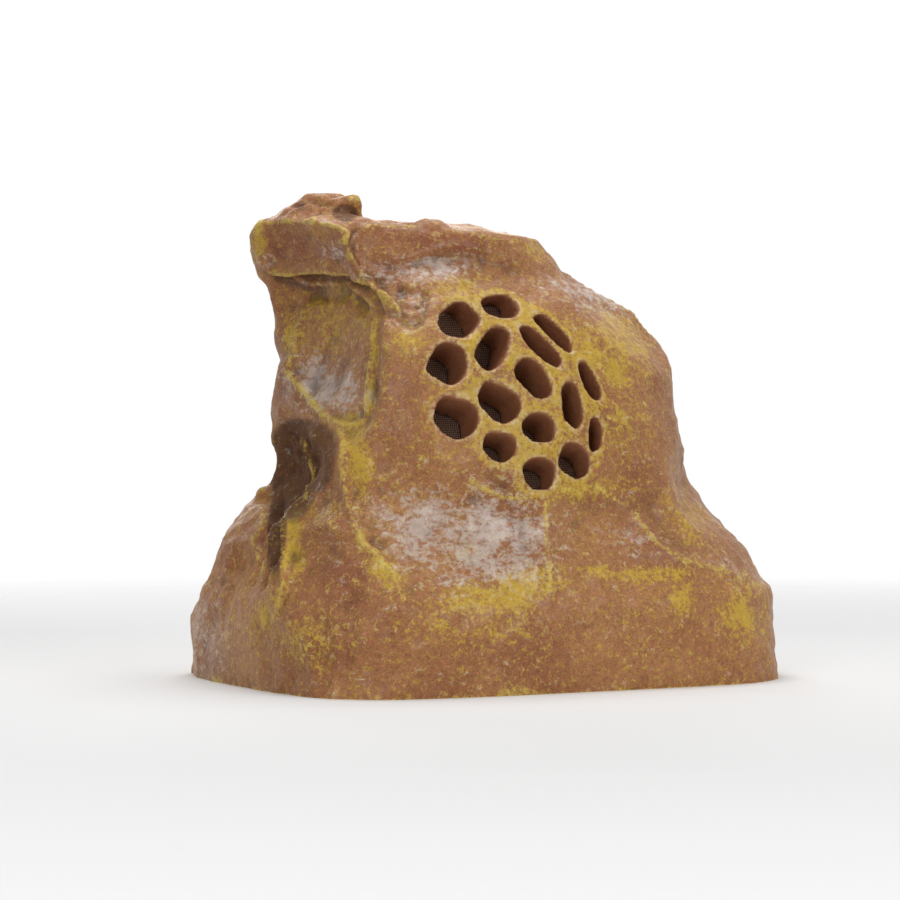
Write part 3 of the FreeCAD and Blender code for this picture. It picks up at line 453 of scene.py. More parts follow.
def pressed(points, line, height, width):
    """How far a ridge or a crack moves each vertex."""
    move = np.zeros(len(points))
    near, apart, nearest = beside(points, line, width * 3)
    move[near] = height * np.exp(-(apart / width) ** 1.4) * (0.35 + 0.65 * tapered(line, nearest))
    return move


def stepped(points, normals, line, height, width):
    """How far a ledge moves each vertex: out on its left side, in on its right side, fading further off."""
    reach = width * 7
    move = np.zeros(len(points))
    near, apart, nearest = beside(points, line, reach)
    along = np.gradient(line, axis=0)[nearest]
    side = np.cross(along, normals[near])
    side /= np.linalg.norm(side, axis=1)[:, None] + 1e-9
    across = -((points[near] - line[nearest]) * side).sum(1)
    fade = (1 - smooth_step(0.25, 1, apart / reach)) * tapered(line, nearest)
    move[near] = height * 0.5 * np.tanh(across / width * 1.6) * fade
    return move


def fractal(points, scale, octaves, seed):
    """Fractal noise at each vertex, from about -1 to 1."""
    shift = Vector((seed * 3.1, seed * 1.7, seed * 0.9))
    return np.array([noise.fractal(Vector(p) * scale + shift, 1.0, 2.0, octaves) for p in points])


shell_mesh = welded("rock_shell")
outside = outer_faces(shell_mesh)
kept = {face.index for face in outside}
walls = {face.index for face in wall_faces(shell_mesh, outside)}
ground = {face.index for face in shell_mesh.faces if on_ground(face)}
cavity_mesh = shell_mesh.copy()
cavity_mesh.faces.ensure_lookup_table()
not_cavity = [face for face in cavity_mesh.faces if face.index in kept or face.index in ground]
bmesh.ops.delete(cavity_mesh, geom=not_cavity, context="FACES")
not_skin = [face for face in shell_mesh.faces if face.index not in kept - walls]
bmesh.ops.delete(shell_mesh, geom=not_skin, context="FACES")
for loop in open_loops(cavity_mesh):
    middle = loop_middle(loop)
    if middle.z < RIM_LEVEL:
        draw_out(cavity_mesh, loop, -UP * CAVITY_BELOW_RIM)
    elif middle.y > 0:
        draw_out(cavity_mesh, loop, Vector((0, CAVITY_PAST_SEAT, 0)))
    else:
        bmesh.ops.holes_fill(cavity_mesh, edges=loop, sides=0)
for loop in open_loops(shell_mesh):
    if loop_middle(loop).z < RIM_LEVEL:
        draw_out(shell_mesh, loop, -UP * ROCK_BELOW_RIM)
    else:
        bmesh.ops.holes_fill(shell_mesh, edges=loop, sides=0)

boulder = new_piece("boulder", shell_mesh)
reskin(boulder, FIRST_SKIN_STEP)
set_points(boulder, worn(points_of(boulder), edges_of(boulder), WEAR_ROUNDS))
carve(boulder, new_piece("sound_holes", hole_tool()))
reskin(boulder, SKIN_STEP)


def hole_level(points):
    """The least oval share over all sound holes, in front of the pad; far from them it is large."""
    level = np.min([oval_share(points, oval) for oval in SOUND_HOLES], axis=0)
    return np.where(points @ np.array(SPEAKER_AXIS) > PAD_LEVEL - PAD_ROOM, level, FAR_FROM_HOLES)


def chiselled(points, scale, seed):
    """Shallow scallops with sharp crests between them: how high each vertex stands."""
    noise.seed_set(seed)
    shift = Vector((seed * 2.3, seed * 5.1, seed * 3.7))
    height = np.empty(len(points))
    for k, point in enumerate(points):
        spot = Vector(point) * scale + shift
        height[k] = noise.voronoi(spot + noise.noise_vector(spot * 0.9) * 0.4)[0][0]
    return height


def metres(millimetres):
    return millimetres / 1000


def lines_of(tree, rows, way):
    """Each row's course on the surface, how far it stands out or in, and its width."""
    return [(traced(tree, course), way * metres(height), metres(width))
            for height, width, *course in rows.values()]


def pixel_of(points):
    """Where points fall in the picture."""
    away = points - np.array(EYE)
    depth = away @ np.array(AHEAD)
    across = VIEW_MIDDLE[0] + VIEW_FOCUS * (away @ np.array(ASIDE)) / depth
    down = VIEW_MIDDLE[1] - VIEW_FOCUS * (away @ np.array(UP)) / depth
    return across, down


def sight_back(points):
    """The direction from each point to the eye."""
    way = np.array(EYE) - points
    return way / np.linalg.norm(way, axis=1)[:, None]


inner_side = bvhtree.BVHTree.FromBMesh(cavity_mesh)
surface = bvhtree.BVHTree.FromObject(boulder, bpy.context.evaluated_depsgraph_get())
ridge_lines = lines_of(surface, RIDGES, 1)
crack_lines = lines_of(surface, CRACKS, -1)
ledge_lines = lines_of(surface, LEDGES, 1)
back_ridges = [(line, *BACK_RIDGE) for line in wandering(surface, seed=5, count=13)]
back_cracks = [(line, *BACK_CRACK) for line in wandering(surface, seed=8, count=11)]

rock_points = points_of(boulder)
rock_edges = edges_of(boulder)
rock_normals = normals_of(boulder)
for _ in range(4):
    rock_normals = averaged(rock_normals, rock_edges)
rock_normals /= np.linalg.norm(rock_normals, axis=1)[:, None] + 1e-9
move = np.zeros(len(rock_points))
for line, height, width in ridge_lines + crack_lines + back_ridges + back_cracks:
    move += pressed(rock_points, line, height, width)
for line, height, width in ledge_lines:
    move += stepped(rock_points, rock_normals, line, height, width)
for x, y, reach, height in LUMPS:
    apart = np.linalg.norm(rock_points - np.array(seen_at(surface, x, y)), axis=1)
    move += metres(height) * np.exp(-(apart / metres(reach)) ** 4)
across, down = pixel_of(rock_points)
shown = smooth_step(0, 0.3, (rock_normals * sight_back(rock_points)).sum(1))
crag = 0.35 * smooth_step(-0.1, 0.5, fractal(rock_points, 14, 2, 7)) * (1 - shown)
for x, y, half_x, half_y, rough in CRAGS:
    near = np.exp(-((across - x) / half_x) ** 2 - ((down - y) / half_y) ** 2)
    crag = np.maximum(crag, rough * shown * near)
move += ROLL_HEIGHT * fractal(rock_points, 26, 4, 1) + GRAIN_HEIGHT * fractal(rock_points, 130, 3, 2)
move += CRAG_HEIGHT * crag * fractal(rock_points, 105, 4, 3)
plain_front = shown * smooth_step(365, 430, across)
for seed, (scale, mean, height, less) in enumerate(SCALLOPS, 1):
    move += (height - less * plain_front) * (chiselled(rock_points, scale, seed) - mean)
wall = np.array([inner_side.find_nearest(Vector(point))[3] for point in rock_points])
move = np.maximum(move, LEAST_WALL - wall)
move *= smooth_step(1.02, 1.3, hole_level(rock_points))
boss = np.hypot(rock_points[:, 0], rock_points[:, 2] - GLAND_LEVEL)
move *= np.where(rock_points[:, 1] > BOSS_FROM, smooth_step(*BOSS_EDGE, boss), 1)
rock_points = rock_points + rock_normals * move[:, None]
rim_share = (1 - smooth_step(1.0, 1.25, hole_level(rock_points))) * (rock_points[:, 1] < 0)
rock_points = worn(rock_points, rock_edges, WEAR_ROUNDS, rim_share)
rock_points[:, :2] = np.clip(rock_points[:, :2], ROCK_LOW[:2], ROCK_HIGH[:2])
rock_points[:, 2] = np.minimum(rock_points[:, 2], ROCK_HIGH.z)
set_points(boulder, rock_points)


def block(name, low, high):
    """A plain closed box, used as a cutting tool."""
    mesh = bmesh.new()
    bmesh.ops.create_cube(mesh, size=1)
    for corner in mesh.verts:
        corner.co = Vector([low[k] + (high[k] - low[k]) * (corner.co[k] + 0.5) for k in range(3)])
    return new_piece(name, mesh)


carve(boulder, block("ground_block", (-1, -1, -1), (1, 1, 0)))
carve(boulder, new_piece("cavity", cavity_mesh))
thinning = boulder.modifiers.new("thinning", "DECIMATE")
triangles = sum(len(face.vertices) - 2 for face in boulder.data.polygons)
thinning.ratio = min(1, SKIN_TRIANGLES / triangles)
settle(boulder)
boulder.data.shade_smooth()
boulder.data.set_sharp_from_angle(angle=math.radians(SHARP_ANGLE))
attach(boulder, "enclosure")
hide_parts("rock_shell")


# The rock shell, its paint: a brown ground coat, ochre brushed dry over the ridges and round the holes, painted
# shade as dark washes in the hollows, cracks and undercuts and on faces that turn down, painted highlight as pale
# washes on the shelves, on faces that turn up and along the hole rims, and a clear varnish that has wrinkled
# slightly over all of it.

# How high a ridge or how deep a crack has to be to take the whole of its paint.
FULL_LINE = 0.0036

# Washes of paint as soft ovals, in the picture's pixels: middle across and down, half width, half height, turn
# in degrees, and strength.
WASHES = {
    "ochre": (
        (608, 352, 40, 44, 0, 0.85), (622, 420, 30, 40, 0, 0.55), (530, 400, 80, 90, 0, 0.62),
        (565, 490, 62, 12, -4, 0.8), (455, 286, 34, 14, -10, 0.7), (412, 340, 22, 16, 0, 0.7),
        (325, 318, 44, 40, 0, 0.58), (290, 340, 8, 34, 4, 0.7), (358, 460, 15, 46, -4, 0.85),
        (385, 570, 14, 34, -40, 0.75), (294, 542, 12, 38, 0, 0.9), (318, 512, 22, 18, 0, 0.6),
        (268, 610, 18, 44, 24, 0.6), (300, 640, 40, 36, 0, 0.45), (258, 245, 8, 26, 0, 0.75),
        (350, 420, 22, 7, 0, 1.1), (312, 401, 36, 5, 48, 1.0), (370, 396, 5, 28, 4, 1.0),
        (374, 345, 4, 34, 0, 0.85), (350, 296, 26, 4, 38, 0.9), (500, 593, 62, 19, -12, 1.1),
        (470, 624, 70, 26, 0, 0.5), (632, 573, 52, 9, 2, 0.95), (682, 600, 14, 18, 0, 0.75),
        (744, 614, 26, 36, 0, 0.8), (690, 520, 20, 34, -35, 0.5), (470, 548, 30, 18, 0, 0.45),
        (530, 250, 22, 10, 20, 0.5),
    ),
    # Painted highlight: pale sheen where the varnish reflects the lamps, mostly on shelves that face up.
    "pale": (
        (425, 269, 58, 13, -4, 0.9), (588, 297, 52, 12, 18, 0.75), (326, 386, 36, 26, 20, 1.1),
        (490, 538, 50, 44, 10, 1.25), (425, 532, 48, 36, 20, 1.0), (630, 542, 22, 20, 0, 0.7),
        (408, 304, 18, 24, 0, 0.7), (204, 640, 18, 40, 0, 0.55), (338, 253, 14, 9, 0, 0.7),
        (267, 263, 8, 5, 0, 0.7), (322, 222, 30, 4, 0, 0.5), (730, 566, 34, 9, 20, 0.45),
        (312, 284, 20, 4, 0, 0.6), (450, 580, 30, 12, 0, 0.5), (325, 520, 8, 40, -14, 0.35),
    ),
    # Painted shade: dark washes in the undercut, the crevices, the pocket, under the brow and over the knob.
    "dark": (
        (304, 444, 32, 24, 8, 1.2), (293, 482, 21, 38, 0, 1.2), (312, 462, 22, 30, 0, 1.2),
        (277, 530, 10, 46, 4, 1.1), (345, 213, 13, 9, 0, 1.1), (320, 203, 40, 12, 0, 0.48),
        (300, 206, 16, 10, 0, 0.6), (366, 277, 12, 14, 0, 0.6), (402, 294, 16, 18, 0, 0.5),
        (335, 281, 30, 5, 0, 0.55), (480, 250, 6, 16, 0, 0.5), (270, 330, 6, 40, 0, 0.4),
        (240, 575, 22, 22, 0, 0.45),
    ),
    "red": (
        (303, 250, 46, 22, 0, 0.9), (440, 242, 84, 14, 4, 0.8), (335, 572, 40, 20, -10, 0.75),
        (228, 556, 20, 22, 0, 0.75), (498, 482, 14, 12, 40, 0.85), (690, 400, 16, 70, 0, 0.5),
        (400, 380, 26, 60, 0, 0.4), (690, 640, 60, 34, 0, 0.45), (395, 640, 60, 34, 0, 0.4),
        (590, 520, 40, 30, 0, 0.35), (715, 545, 26, 16, 30, 0.6),
    ),
}


def tint(red, green, blue):
    """A colour as a screen shows it, from 0 to 255, turned into the light that the shader works with."""
    shares = [part / 255 for part in (red, green, blue)]
    return tuple(part / 12.92 if part < 0.04045 else ((part + 0.055) / 1.055) ** 2.4 for part in shares) + (1,)


def washed(points, rows):
    """How much of a wash lies on each vertex."""
    across, down = pixel_of(points)
    amount = np.zeros(len(points))
    for x, y, half_x, half_y, turn, strength in rows:
        angle = math.radians(turn)
        along = (across - x) * math.cos(angle) + (down - y) * math.sin(angle)
        square = (down - y) * math.cos(angle) - (across - x) * math.sin(angle)
        apart = (along / half_x) ** 2 + (square / half_y) ** 2
        amount = np.maximum(amount, strength * np.exp(-apart * 0.8))
    return amount


def keep_field(piece, name, values):
    """Store a value at each vertex for the material."""
    field = piece.data.attributes.new(name, "FLOAT", "POINT")
    field.data.foreach_set("value", np.clip(values, 0, 1).astype(np.float32))


paint_points = points_of(boulder)
paint_normals = normals_of(boulder)
shown = smooth_step(-0.05, 0.2, (paint_normals * sight_back(paint_points)).sum(1))
paint_edges = edges_of(boulder)
even = paint_points
for _ in range(8):
    even = averaged(even, paint_edges)
proud = ((paint_points - even) * paint_normals).sum(1)
patch = fractal(paint_points, 13, 3, 5)
level_share = smooth_step(0.15, 0.75, paint_normals[:, 2])
hidden = {
    "ochre": 0.34 + 0.6 * patch,
    # Painted highlight: faces that turn upwards are paler.
    "pale": level_share * (0.55 + 0.5 * fractal(paint_points, 17, 3, 9)),
    # Painted shade: faces that turn downwards are darker; random dark patches are added.
    "dark": 0.75 * smooth_step(0.1, 0.6, -paint_normals[:, 2]) + 0.35 * smooth_step(0.1, 0.6, -patch),
    "red": 0.5 + 0.7 * fractal(paint_points, 9, 2, 11),
}
ragged = 0.9 + 0.6 * fractal(paint_points, 58, 3, 13)
for name, rows in WASHES.items():
    edge = 1 if name == "dark" else ragged
    keep_field(boulder, name, washed(paint_points, rows) * edge * shown + hidden[name] * (1 - shown))
# How much painted shade lies on each vertex; the ochre crests fade under it.
painted_shade_amount = np.clip(washed(paint_points, WASHES["dark"]) * shown, 0, 1)
level = hole_level(paint_points)
crest = 0.62 * smooth_step(0.0004, 0.0016, proud) * (1 - 0.6 * painted_shade_amount)
for line, height, width in ridge_lines + back_ridges:
    crest = np.maximum(crest, pressed(paint_points, line, min(1.3, 0.4 + height / FULL_LINE), width * 0.72))
for line, height, width in ledge_lines[:2]:
    crest = np.maximum(crest, pressed(paint_points, line, 0.95, width * 0.6))
keep_field(boulder, "crest", crest * smooth_step(1.3, 1.7, level))
# Painted shade in creases: darker wherever the surface lies below its neighbours, and along the cracks.
crack_shade = 0.8 * smooth_step(0.00025, 0.0013, -proud)
for line, height, width in crack_lines + back_cracks:
    crack_shade = np.maximum(crack_shade, pressed(paint_points, line, min(1, -height / FULL_LINE), width))
keep_field(boulder, "crack_shade", crack_shade)
facing = paint_normals @ np.array(SPEAKER_AXIS)
in_front = paint_points @ np.array(SPEAKER_AXIS) > PAD_LEVEL - PAD_ROOM / 2
inside_hole = np.where(in_front, 1 - smooth_step(1.07, 1.12, level), 0)
keep_field(boulder, "hole_wall", inside_hole * (facing < 0.7))
from_axis = (paint_points @ np.array(SPEAKER_SIDE) - SPEAKER_MIDDLE[0]) / GRILLE_SHARE
web = (1 - smooth_step(1.3, 1.75, level)) * smooth_step(0.5, 0.8, facing)
keep_field(boulder, "hole_web", web * (0.5 + 0.5 * smooth_step(-85, -35, from_axis)) * ragged)
# Painted highlight: a pale line on the hole rims where they face forward, as if their bevels caught the light.
keep_field(boulder, "hole_rim_highlight", (1 - smooth_step(1.08, 1.16, level)) * smooth_step(0.55, 0.75, facing))
unpainted = np.array([inner_side.find_nearest(Vector(p))[3] < 2 * NEAR for p in paint_points])
keep_field(boulder, "bare", unpainted.astype(float))


class Value:
    """A shader socket that takes part in Python sums: each sign adds a Math node."""

    def __init__(self, tree, socket):
        self.tree = tree
        self.socket = socket

    def maths(self, operation, *terms):
        node = self.tree.nodes.new("ShaderNodeMath")
        node.operation = operation
        for place, term in zip(node.inputs, terms):
            join(self.tree, term, place)
        return Value(self.tree, node.outputs[0])

    def __add__(self, other):
        return self.maths("ADD", self, other)

    def __sub__(self, other):
        return self.maths("SUBTRACT", self, other)

    def __rsub__(self, other):
        return self.maths("SUBTRACT", other, self)

    def __mul__(self, other):
        return self.maths("MULTIPLY", self, other)

    def __or__(self, other):
        return self.maths("MAXIMUM", self, other)

    def __abs__(self):
        return self.maths("ABSOLUTE", self)

    def sine(self):
        return self.maths("SINE", self)

    def clipped(self):
        return self.maths("MINIMUM", self.maths("MAXIMUM", self, 0), 1)

    def above(self, start, slope):
        """From 0 at the start up to 1."""
        return ((self - start) * slope).clipped()

    __radd__ = __add__
    __rmul__ = __mul__


def join(tree, term, place):
    """Link a value to a socket, or set a plain number, vector or colour on it."""
    if isinstance(term, Value):
        tree.links.new(term.socket, place)
    else:
        place.default_value = term


class Shader:
    """A tree of shader nodes."""

    def __init__(self, tree):
        self.tree = tree

    def node(self, kind, settings, sockets, output=0):
        """Any node: its settings come first, then the values or links of its sockets."""
        made = self.tree.nodes.new("ShaderNode" + kind)
        for key, setting in settings.items():
            setattr(made, key, setting)
        for key, term in sockets.items():
            join(self.tree, term, made.inputs[key])
        return Value(self.tree, made.outputs[output])


class Finish(Shader):
    """A material with one surface shader, and the nodes that vary it over the piece."""

    def __init__(self, name, **plain):
        self.material = bpy.data.materials.new(name)
        self.material.use_nodes = True
        super().__init__(self.material.node_tree)
        self.surface = self.tree.nodes["Principled BSDF"]
        for key, term in plain.items():
            self.set(key.replace("_", " ").title().replace("Ior", "IOR"), term)

    def set(self, socket, term):
        join(self.tree, term, self.surface.inputs[socket])

    def place(self, stretch=(1, 1, 1)):
        """The place on the piece, in metres, stretched along the axes."""
        spot = self.node("TexCoord", {}, {}, "Object")
        return self.node("VectorMath", {"operation": "MULTIPLY"}, {0: spot, 1: stretch})

    def noise(self, scale, detail=3, roughness=0.55, distortion=0, stretch=(1, 1, 1)):
        return self.node("TexNoise", {}, {"Vector": self.place(stretch), "Scale": scale, "Detail": detail,
                                          "Roughness": roughness, "Distortion": distortion})

    def cells(self, scale):
        return self.node("TexVoronoi", {}, {"Vector": self.place(), "Scale": scale})

    def field(self, name):
        return self.node("Attribute", {"attribute_name": name}, {}, "Fac")

    def mix(self, share, one, two):
        return self.node("Mix", {"data_type": "RGBA"}, {0: share, 6: one, 7: two}, 2)

    def bump(self, height, depth):
        """Raise the surface by a height from 0 to 1 times a depth in metres."""
        self.set("Normal", self.node("Bump", {}, {"Height": height, "Strength": 1, "Distance": depth}))

    def dress(self, grain, tones, rough, depth, tone=None, relief=None):
        """A plain coat: two tones, a roughness of a least value and what the grain adds, and a fine relief."""
        self.set("Base Color", self.mix(tone or grain, *tones))
        self.set("Roughness", rough[0] + grain * rough[1])
        self.bump(relief or grain, depth)


def brushed(amount, speckle, reach):
    """Paint from a nearly dry brush: it takes on the high specks first."""
    return ((amount - 0.5) * 2 + (speckle - 0.5) * reach + 0.4).clipped()


rock_paint = Finish("rock_paint", coat_roughness=0.22, specular_ior_level=0.2)
broad = rock_paint.noise(16, 4)
speckle = rock_paint.noise(430, 4, 0.7)
squiggle = rock_paint.noise(230, 4, 0.64, 0.8)
crinkle = rock_paint.noise(105, 5, 0.66, 0.7, (1, 1, 2.3))
curl = rock_paint.noise(300, 2, 0.5, 2.2)
hair = (1 - abs(curl - 0.5) * 16).clipped()
dry = speckle * 0.5 + squiggle * 0.5 + hair * 0.07
# The painted shade and the painted highlight, as stored at the vertices.
painted_shade = rock_paint.field("dark")
painted_sheen = rock_paint.field("pale")
bare = rock_paint.field("bare")
ochre = rock_paint.field("ochre") * 0.94 | rock_paint.field("hole_web") * 0.78 | broad * 0.3
# Painted shade: dark brown where the dark wash is strong, broken up by the squiggle.
hollow_shade = ((painted_shade - 0.42) * 6 + (squiggle - 0.5) * 2).clipped()
layers = {
    "pores": (speckle.above(0.47, 5.5) * 0.5, tint(92, 54, 34)),
    "red earth": (brushed(rock_paint.field("red"), squiggle, 1.6) * 0.7, tint(142, 74, 50)),
    "dark curls": (curl.above(0.54, 7) * 0.42, tint(98, 58, 36)),
    "light hairs": (hair * squiggle.above(0.35, 3) * 0.42, tint(226, 186, 132)),
    "ochre": (brushed(ochre, dry, 8) * 0.82, tint(214, 178, 58)),
    # Painted shade in the hollows and undercuts.
    "hollow_shade": (hollow_shade * 0.7, tint(66, 43, 35)),
    # Painted highlight: pale sheen on the shelves.
    "pale shelves": (brushed(painted_sheen * 0.8, crinkle * 0.5 + squiggle * 0.5, 8) * 0.64, tint(220, 206, 198)),
    # Painted shade in the cracks and creases.
    "painted_crack_shade": (rock_paint.field("crack_shade") * 0.75, tint(58, 36, 29)),
    "crests": (brushed(rock_paint.field("crest"), dry, 5) * 0.8, tint(224, 196, 92)),
    # Painted highlight along the forward-facing hole rims.
    "hole rims": (rock_paint.field("hole_rim_highlight") * squiggle.above(0.38, 4) * 0.8, tint(220, 194, 150)),
    "hole walls": (rock_paint.field("hole_wall") * 0.94, tint(160, 104, 74)),
    "bare inside": (bare, tint(120, 112, 102)),
}
colour = rock_paint.mix(((broad - 0.5) * 2.4 + 0.5).clipped(), tint(152, 92, 57), tint(190, 132, 85))
for share, paint in layers.values():
    colour = rock_paint.mix(share, colour, paint)
rock_paint.set("Base Color", colour)
rock_paint.set("Roughness", (0.34 + speckle * 0.3 + painted_shade * 0.25 + bare * 0.3).clipped())
rock_paint.set("Coat Weight", (0.18 + painted_sheen * 0.5 - painted_shade * 0.3 - bare).clipped())
wrinkle = rock_paint.noise(70, 5, 0.62, 1.0)
rock_paint.bump(wrinkle * 0.36 + crinkle * 0.28 + squiggle * 0.15 + speckle * 0.15 + hair * 0.06, 0.0036)
boulder.data.materials.clear()
boulder.data.materials.append(rock_paint.material)


# The screen: a disc of dark coated wire, woven plain, with its edge pressed flat into a band. It lies on the
# pad behind the sound holes, and the driver's screws pass through its band.

WIRE_PITCH = 0.0015
WIRE_RADIUS = 0.00024
WIRE_SWING = 0.00026
WEAVE_REACH = 0.0712
BAND_LAP = 0.0006
CORE_DEPTH = 0.01
SCREEN_HALF = 0.0006
SCREEN_LEVEL = PAD_LEVEL - SCREEN_HALF
ROUND_CORNERS = 96


def on_screen(across, up, out):
    """A point given from the driver's axis: across, up, and out from the screen's middle plane."""
    return (SPEAKER_SIDE * (SPEAKER_MIDDLE[0] + across) + SPEAKER_UP * (SPEAKER_MIDDLE[1] + up)
            + SPEAKER_AXIS * (SCREEN_LEVEL + out))


def wire(mesh, row, upright):
    """One wire of four sides, over and under the wires that cross it."""
    place = row * WIRE_PITCH
    count = int(math.sqrt(WEAVE_REACH ** 2 - place ** 2) / WIRE_PITCH)
    last = None
    for k in range(-count, count + 1):
        out = WIRE_SWING if (k + row + upright) % 2 else -WIRE_SWING
        ring = []
        for side, rise in ((1, 0), (0, 1), (-1, 0), (0, -1)):
            spot = [k * WIRE_PITCH, place + side * WIRE_RADIUS]
            if upright:
                spot.reverse()
            ring.append(mesh.verts.new(on_screen(*spot, out + rise * WIRE_RADIUS)))
        if last is None:
            mesh.faces.new(ring)
        else:
            for n in range(4):
                mesh.faces.new((last[n], last[n - 1], ring[n - 1], ring[n]))
        last = ring
    mesh.faces.new(last)


band_core = bmesh.new()
core_radius = WEAVE_REACH - BAND_LAP
bmesh.ops.create_cone(band_core, cap_ends=True, segments=ROUND_CORNERS, depth=CORE_DEPTH,
                      radius1=core_radius, radius2=core_radius)
upright_to_axis = UP.rotation_difference(SPEAKER_AXIS).to_matrix().to_4x4()
bmesh.ops.transform(band_core, matrix=upright_to_axis, verts=band_core.verts)
bmesh.ops.translate(band_core, verts=band_core.verts, vec=on_screen(0, 0, 0))
band = new_piece("screen_band", welded("mesh_screen"))
carve(band, new_piece("screen_core", band_core))
weave = bmesh.new()
weave.from_mesh(band.data)
bpy.data.objects.remove(band)
rows = int(WEAVE_REACH / WIRE_PITCH)
for row in range(-rows, rows + 1):
    wire(weave, row, False)
    wire(weave, row, True)
screen = new_piece("woven_screen", weave)
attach(screen, "enclosure")
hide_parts("mesh_screen")
screen_coat = Finish("screen_coat", metallic=0.2)
dust = screen_coat.noise(60, 4)
screen_coat.dress(dust, (tint(142, 106, 84), tint(176, 140, 114)), (0.42, 0.2), 0.00004,
                  relief=screen_coat.noise(2200, 2))
screen.data.materials.append(screen_coat.material)


# The soft rings: closed-cell foam holds the screen against its pad and seals the base, and moulded rubber makes
# the front gasket, the cone's rolled surround and the seals of the cable gland.


def coat(finish, *nodes):
    """Give a material to CAD nodes that are shown as they are."""
    for name in nodes:
        slots = frame["nodes"][name].data.materials
        slots.clear()
        slots.append(finish.material)


foam = Finish("closed_cell_foam")
foam.dress(foam.cells(900), (tint(30, 30, 31), tint(58, 57, 56)), (0.85, 0.1), 0.0004)
coat(foam, "spacer_ring", "base_gasket")

rubber = Finish("moulded_rubber")
rubber_bloom = rubber.noise(45, 4)
rubber.dress(rubber_bloom, (tint(24, 24, 25), tint(50, 49, 49)), (0.5, 0.25), 0.00008,
             relief=rubber.noise(700, 3))
coat(rubber, "front_gasket", "surround", "gland_seal", "gland_insert")


# The driver: a stoved black steel basket, a pressed cone with its dust cap, an aluminium former wound with
# enamelled copper, a cloth spider, and a ferrite ring between zinc plated steel plates.

basket = Finish("stoved_black", coat_weight=0.2, coat_roughness=0.3)
basket_peel = basket.noise(320, 2)
basket.dress(basket_peel, (tint(30, 30, 31), tint(46, 45, 45)), (0.34, 0.2), 0.00012, tone=basket.noise(30, 3))
coat(basket, "basket")

cone = Finish("pressed_cone")
cone.dress(cone.noise(420, 4, 0.6, 0.6), (tint(34, 34, 37), tint(66, 65, 68)), (0.45, 0.2), 0.00015)
coat(cone, "cone", "dust_cap")

former = Finish("rolled_aluminium", metallic=1)
former_line = former.noise(300, 3, 0.5, 0, (1, 6, 6))
former.dress(former_line, (tint(196, 196, 198), tint(228, 228, 230)), (0.28, 0.2), 0.00002)
coat(former, "coil_former")

winding = Finish("enamelled_copper", metallic=1, coat_weight=0.4, coat_roughness=0.2)
turns_along = winding.node("SeparateXYZ", {}, {0: winding.place((0, -SPEAKER_AXIS.y, 0))}, 1)
turn_wave = (turns_along * 9000).sine() * 0.5 + 0.5
winding.dress(winding.noise(400, 2), (tint(142, 76, 42), tint(206, 124, 74)), (0.3, 0.2), 0.00012,
              tone=turn_wave, relief=turn_wave)
coat(winding, "voice_coil")

spider = Finish("stiffened_cloth")
warp, weft = [spider.node("TexWave", {"wave_type": "BANDS", "bands_direction": way},
                          {"Vector": spider.place(), "Scale": 420}, 1) for way in "XZ"]
spider.dress(warp * 0.5 + weft * 0.5, (tint(150, 118, 60), tint(206, 176, 110)), (0.7, 0.2), 0.0002)
coat(spider, "spider")

zinc = Finish("zinc_plate", metallic=1)
spangle = zinc.cells(260)
zinc.dress(spangle, (tint(176, 172, 156), tint(208, 204, 184)), (0.3, 0.25), 0.00003,
           relief=zinc.noise(900, 2))
coat(zinc, "top_plate", "yoke")

ferrite = Finish("ground_ferrite", metallic=0.15)
ferrite.dress(ferrite.noise(520, 5, 0.7), (tint(42, 42, 44), tint(82, 81, 82)), (0.55, 0.25), 0.0001)
coat(ferrite, "magnet")


# The fixings: turned brass sleeves moulded into the rock and brass solder tabs, with stainless screws in the
# sleeves, in the driver's flange and in the terminal block.

brass = Finish("turned_brass", metallic=1)
tarnish = brass.noise(110, 4)
brass.dress(tarnish, (tint(186, 148, 78), tint(222, 192, 118)), (0.22, 0.25), 0.00002,
            relief=brass.noise(1200, 2, 0.5, 0, (1, 1, 5)))
coat(brass, "base_inserts", "driver_inserts", "terminal_tabs")

stainless = Finish("stainless_screw", metallic=1)
scuff = stainless.noise(500, 4, 0.6, 0, (1, 5, 1))
stainless.dress(scuff, (tint(176, 176, 178), tint(216, 216, 218)), (0.24, 0.22), 0.00002)
coat(stainless, "base_screws", "driver_screws", "block_screws")


# The wiring: a pressed phenolic board on the basket, a cream terminal block on the base, and two insulated leads
# between them.

phenolic = Finish("pressed_phenolic", coat_weight=0.15)
sheet_fibre = phenolic.noise(380, 5, 0.65, 0.5)
phenolic.dress(sheet_fibre, (tint(92, 54, 30), tint(142, 92, 54)), (0.4, 0.2), 0.00006)
coat(phenolic, "terminal_board")

block_plastic = Finish("cream_plastic")
block_grain = block_plastic.noise(800, 3)
block_plastic.dress(block_grain, (tint(206, 200, 184), tint(228, 224, 212)), (0.42, 0.15), 0.00004)
coat(block_plastic, "terminal_block")

insulation = {
    "red": (tint(150, 24, 20), tint(190, 46, 38)),
    "black": (tint(22, 22, 23), tint(44, 44, 45)),
}
for name, tones in insulation.items():
    sleeve = Finish(name + "_insulation")
    rub = sleeve.noise(180, 4, 0.6)
    sleeve.dress(rub, tones, (0.36, 0.22), 0.00003, relief=sleeve.noise(1100, 2))
    coat(sleeve, "lead_" + name)


# The base plate: a black moulded plate with a fine spark grain, dusty from the ground, screwed up against the foam
# gasket in the rim.

base_plastic = Finish("grained_black")
base_grain = base_plastic.noise(950, 3, 0.6)
base_plastic.dress(base_grain, (tint(46, 44, 42), tint(70, 66, 62)), (0.5, 0.2), 0.0002,
                   tone=base_plastic.noise(22, 4))
coat(base_plastic, "base_plate")


# The cable gland: moulded black nylon, its body through the boss at the back, a locknut inside and a nut outside
# that squeezes a rubber sleeve onto a cable.

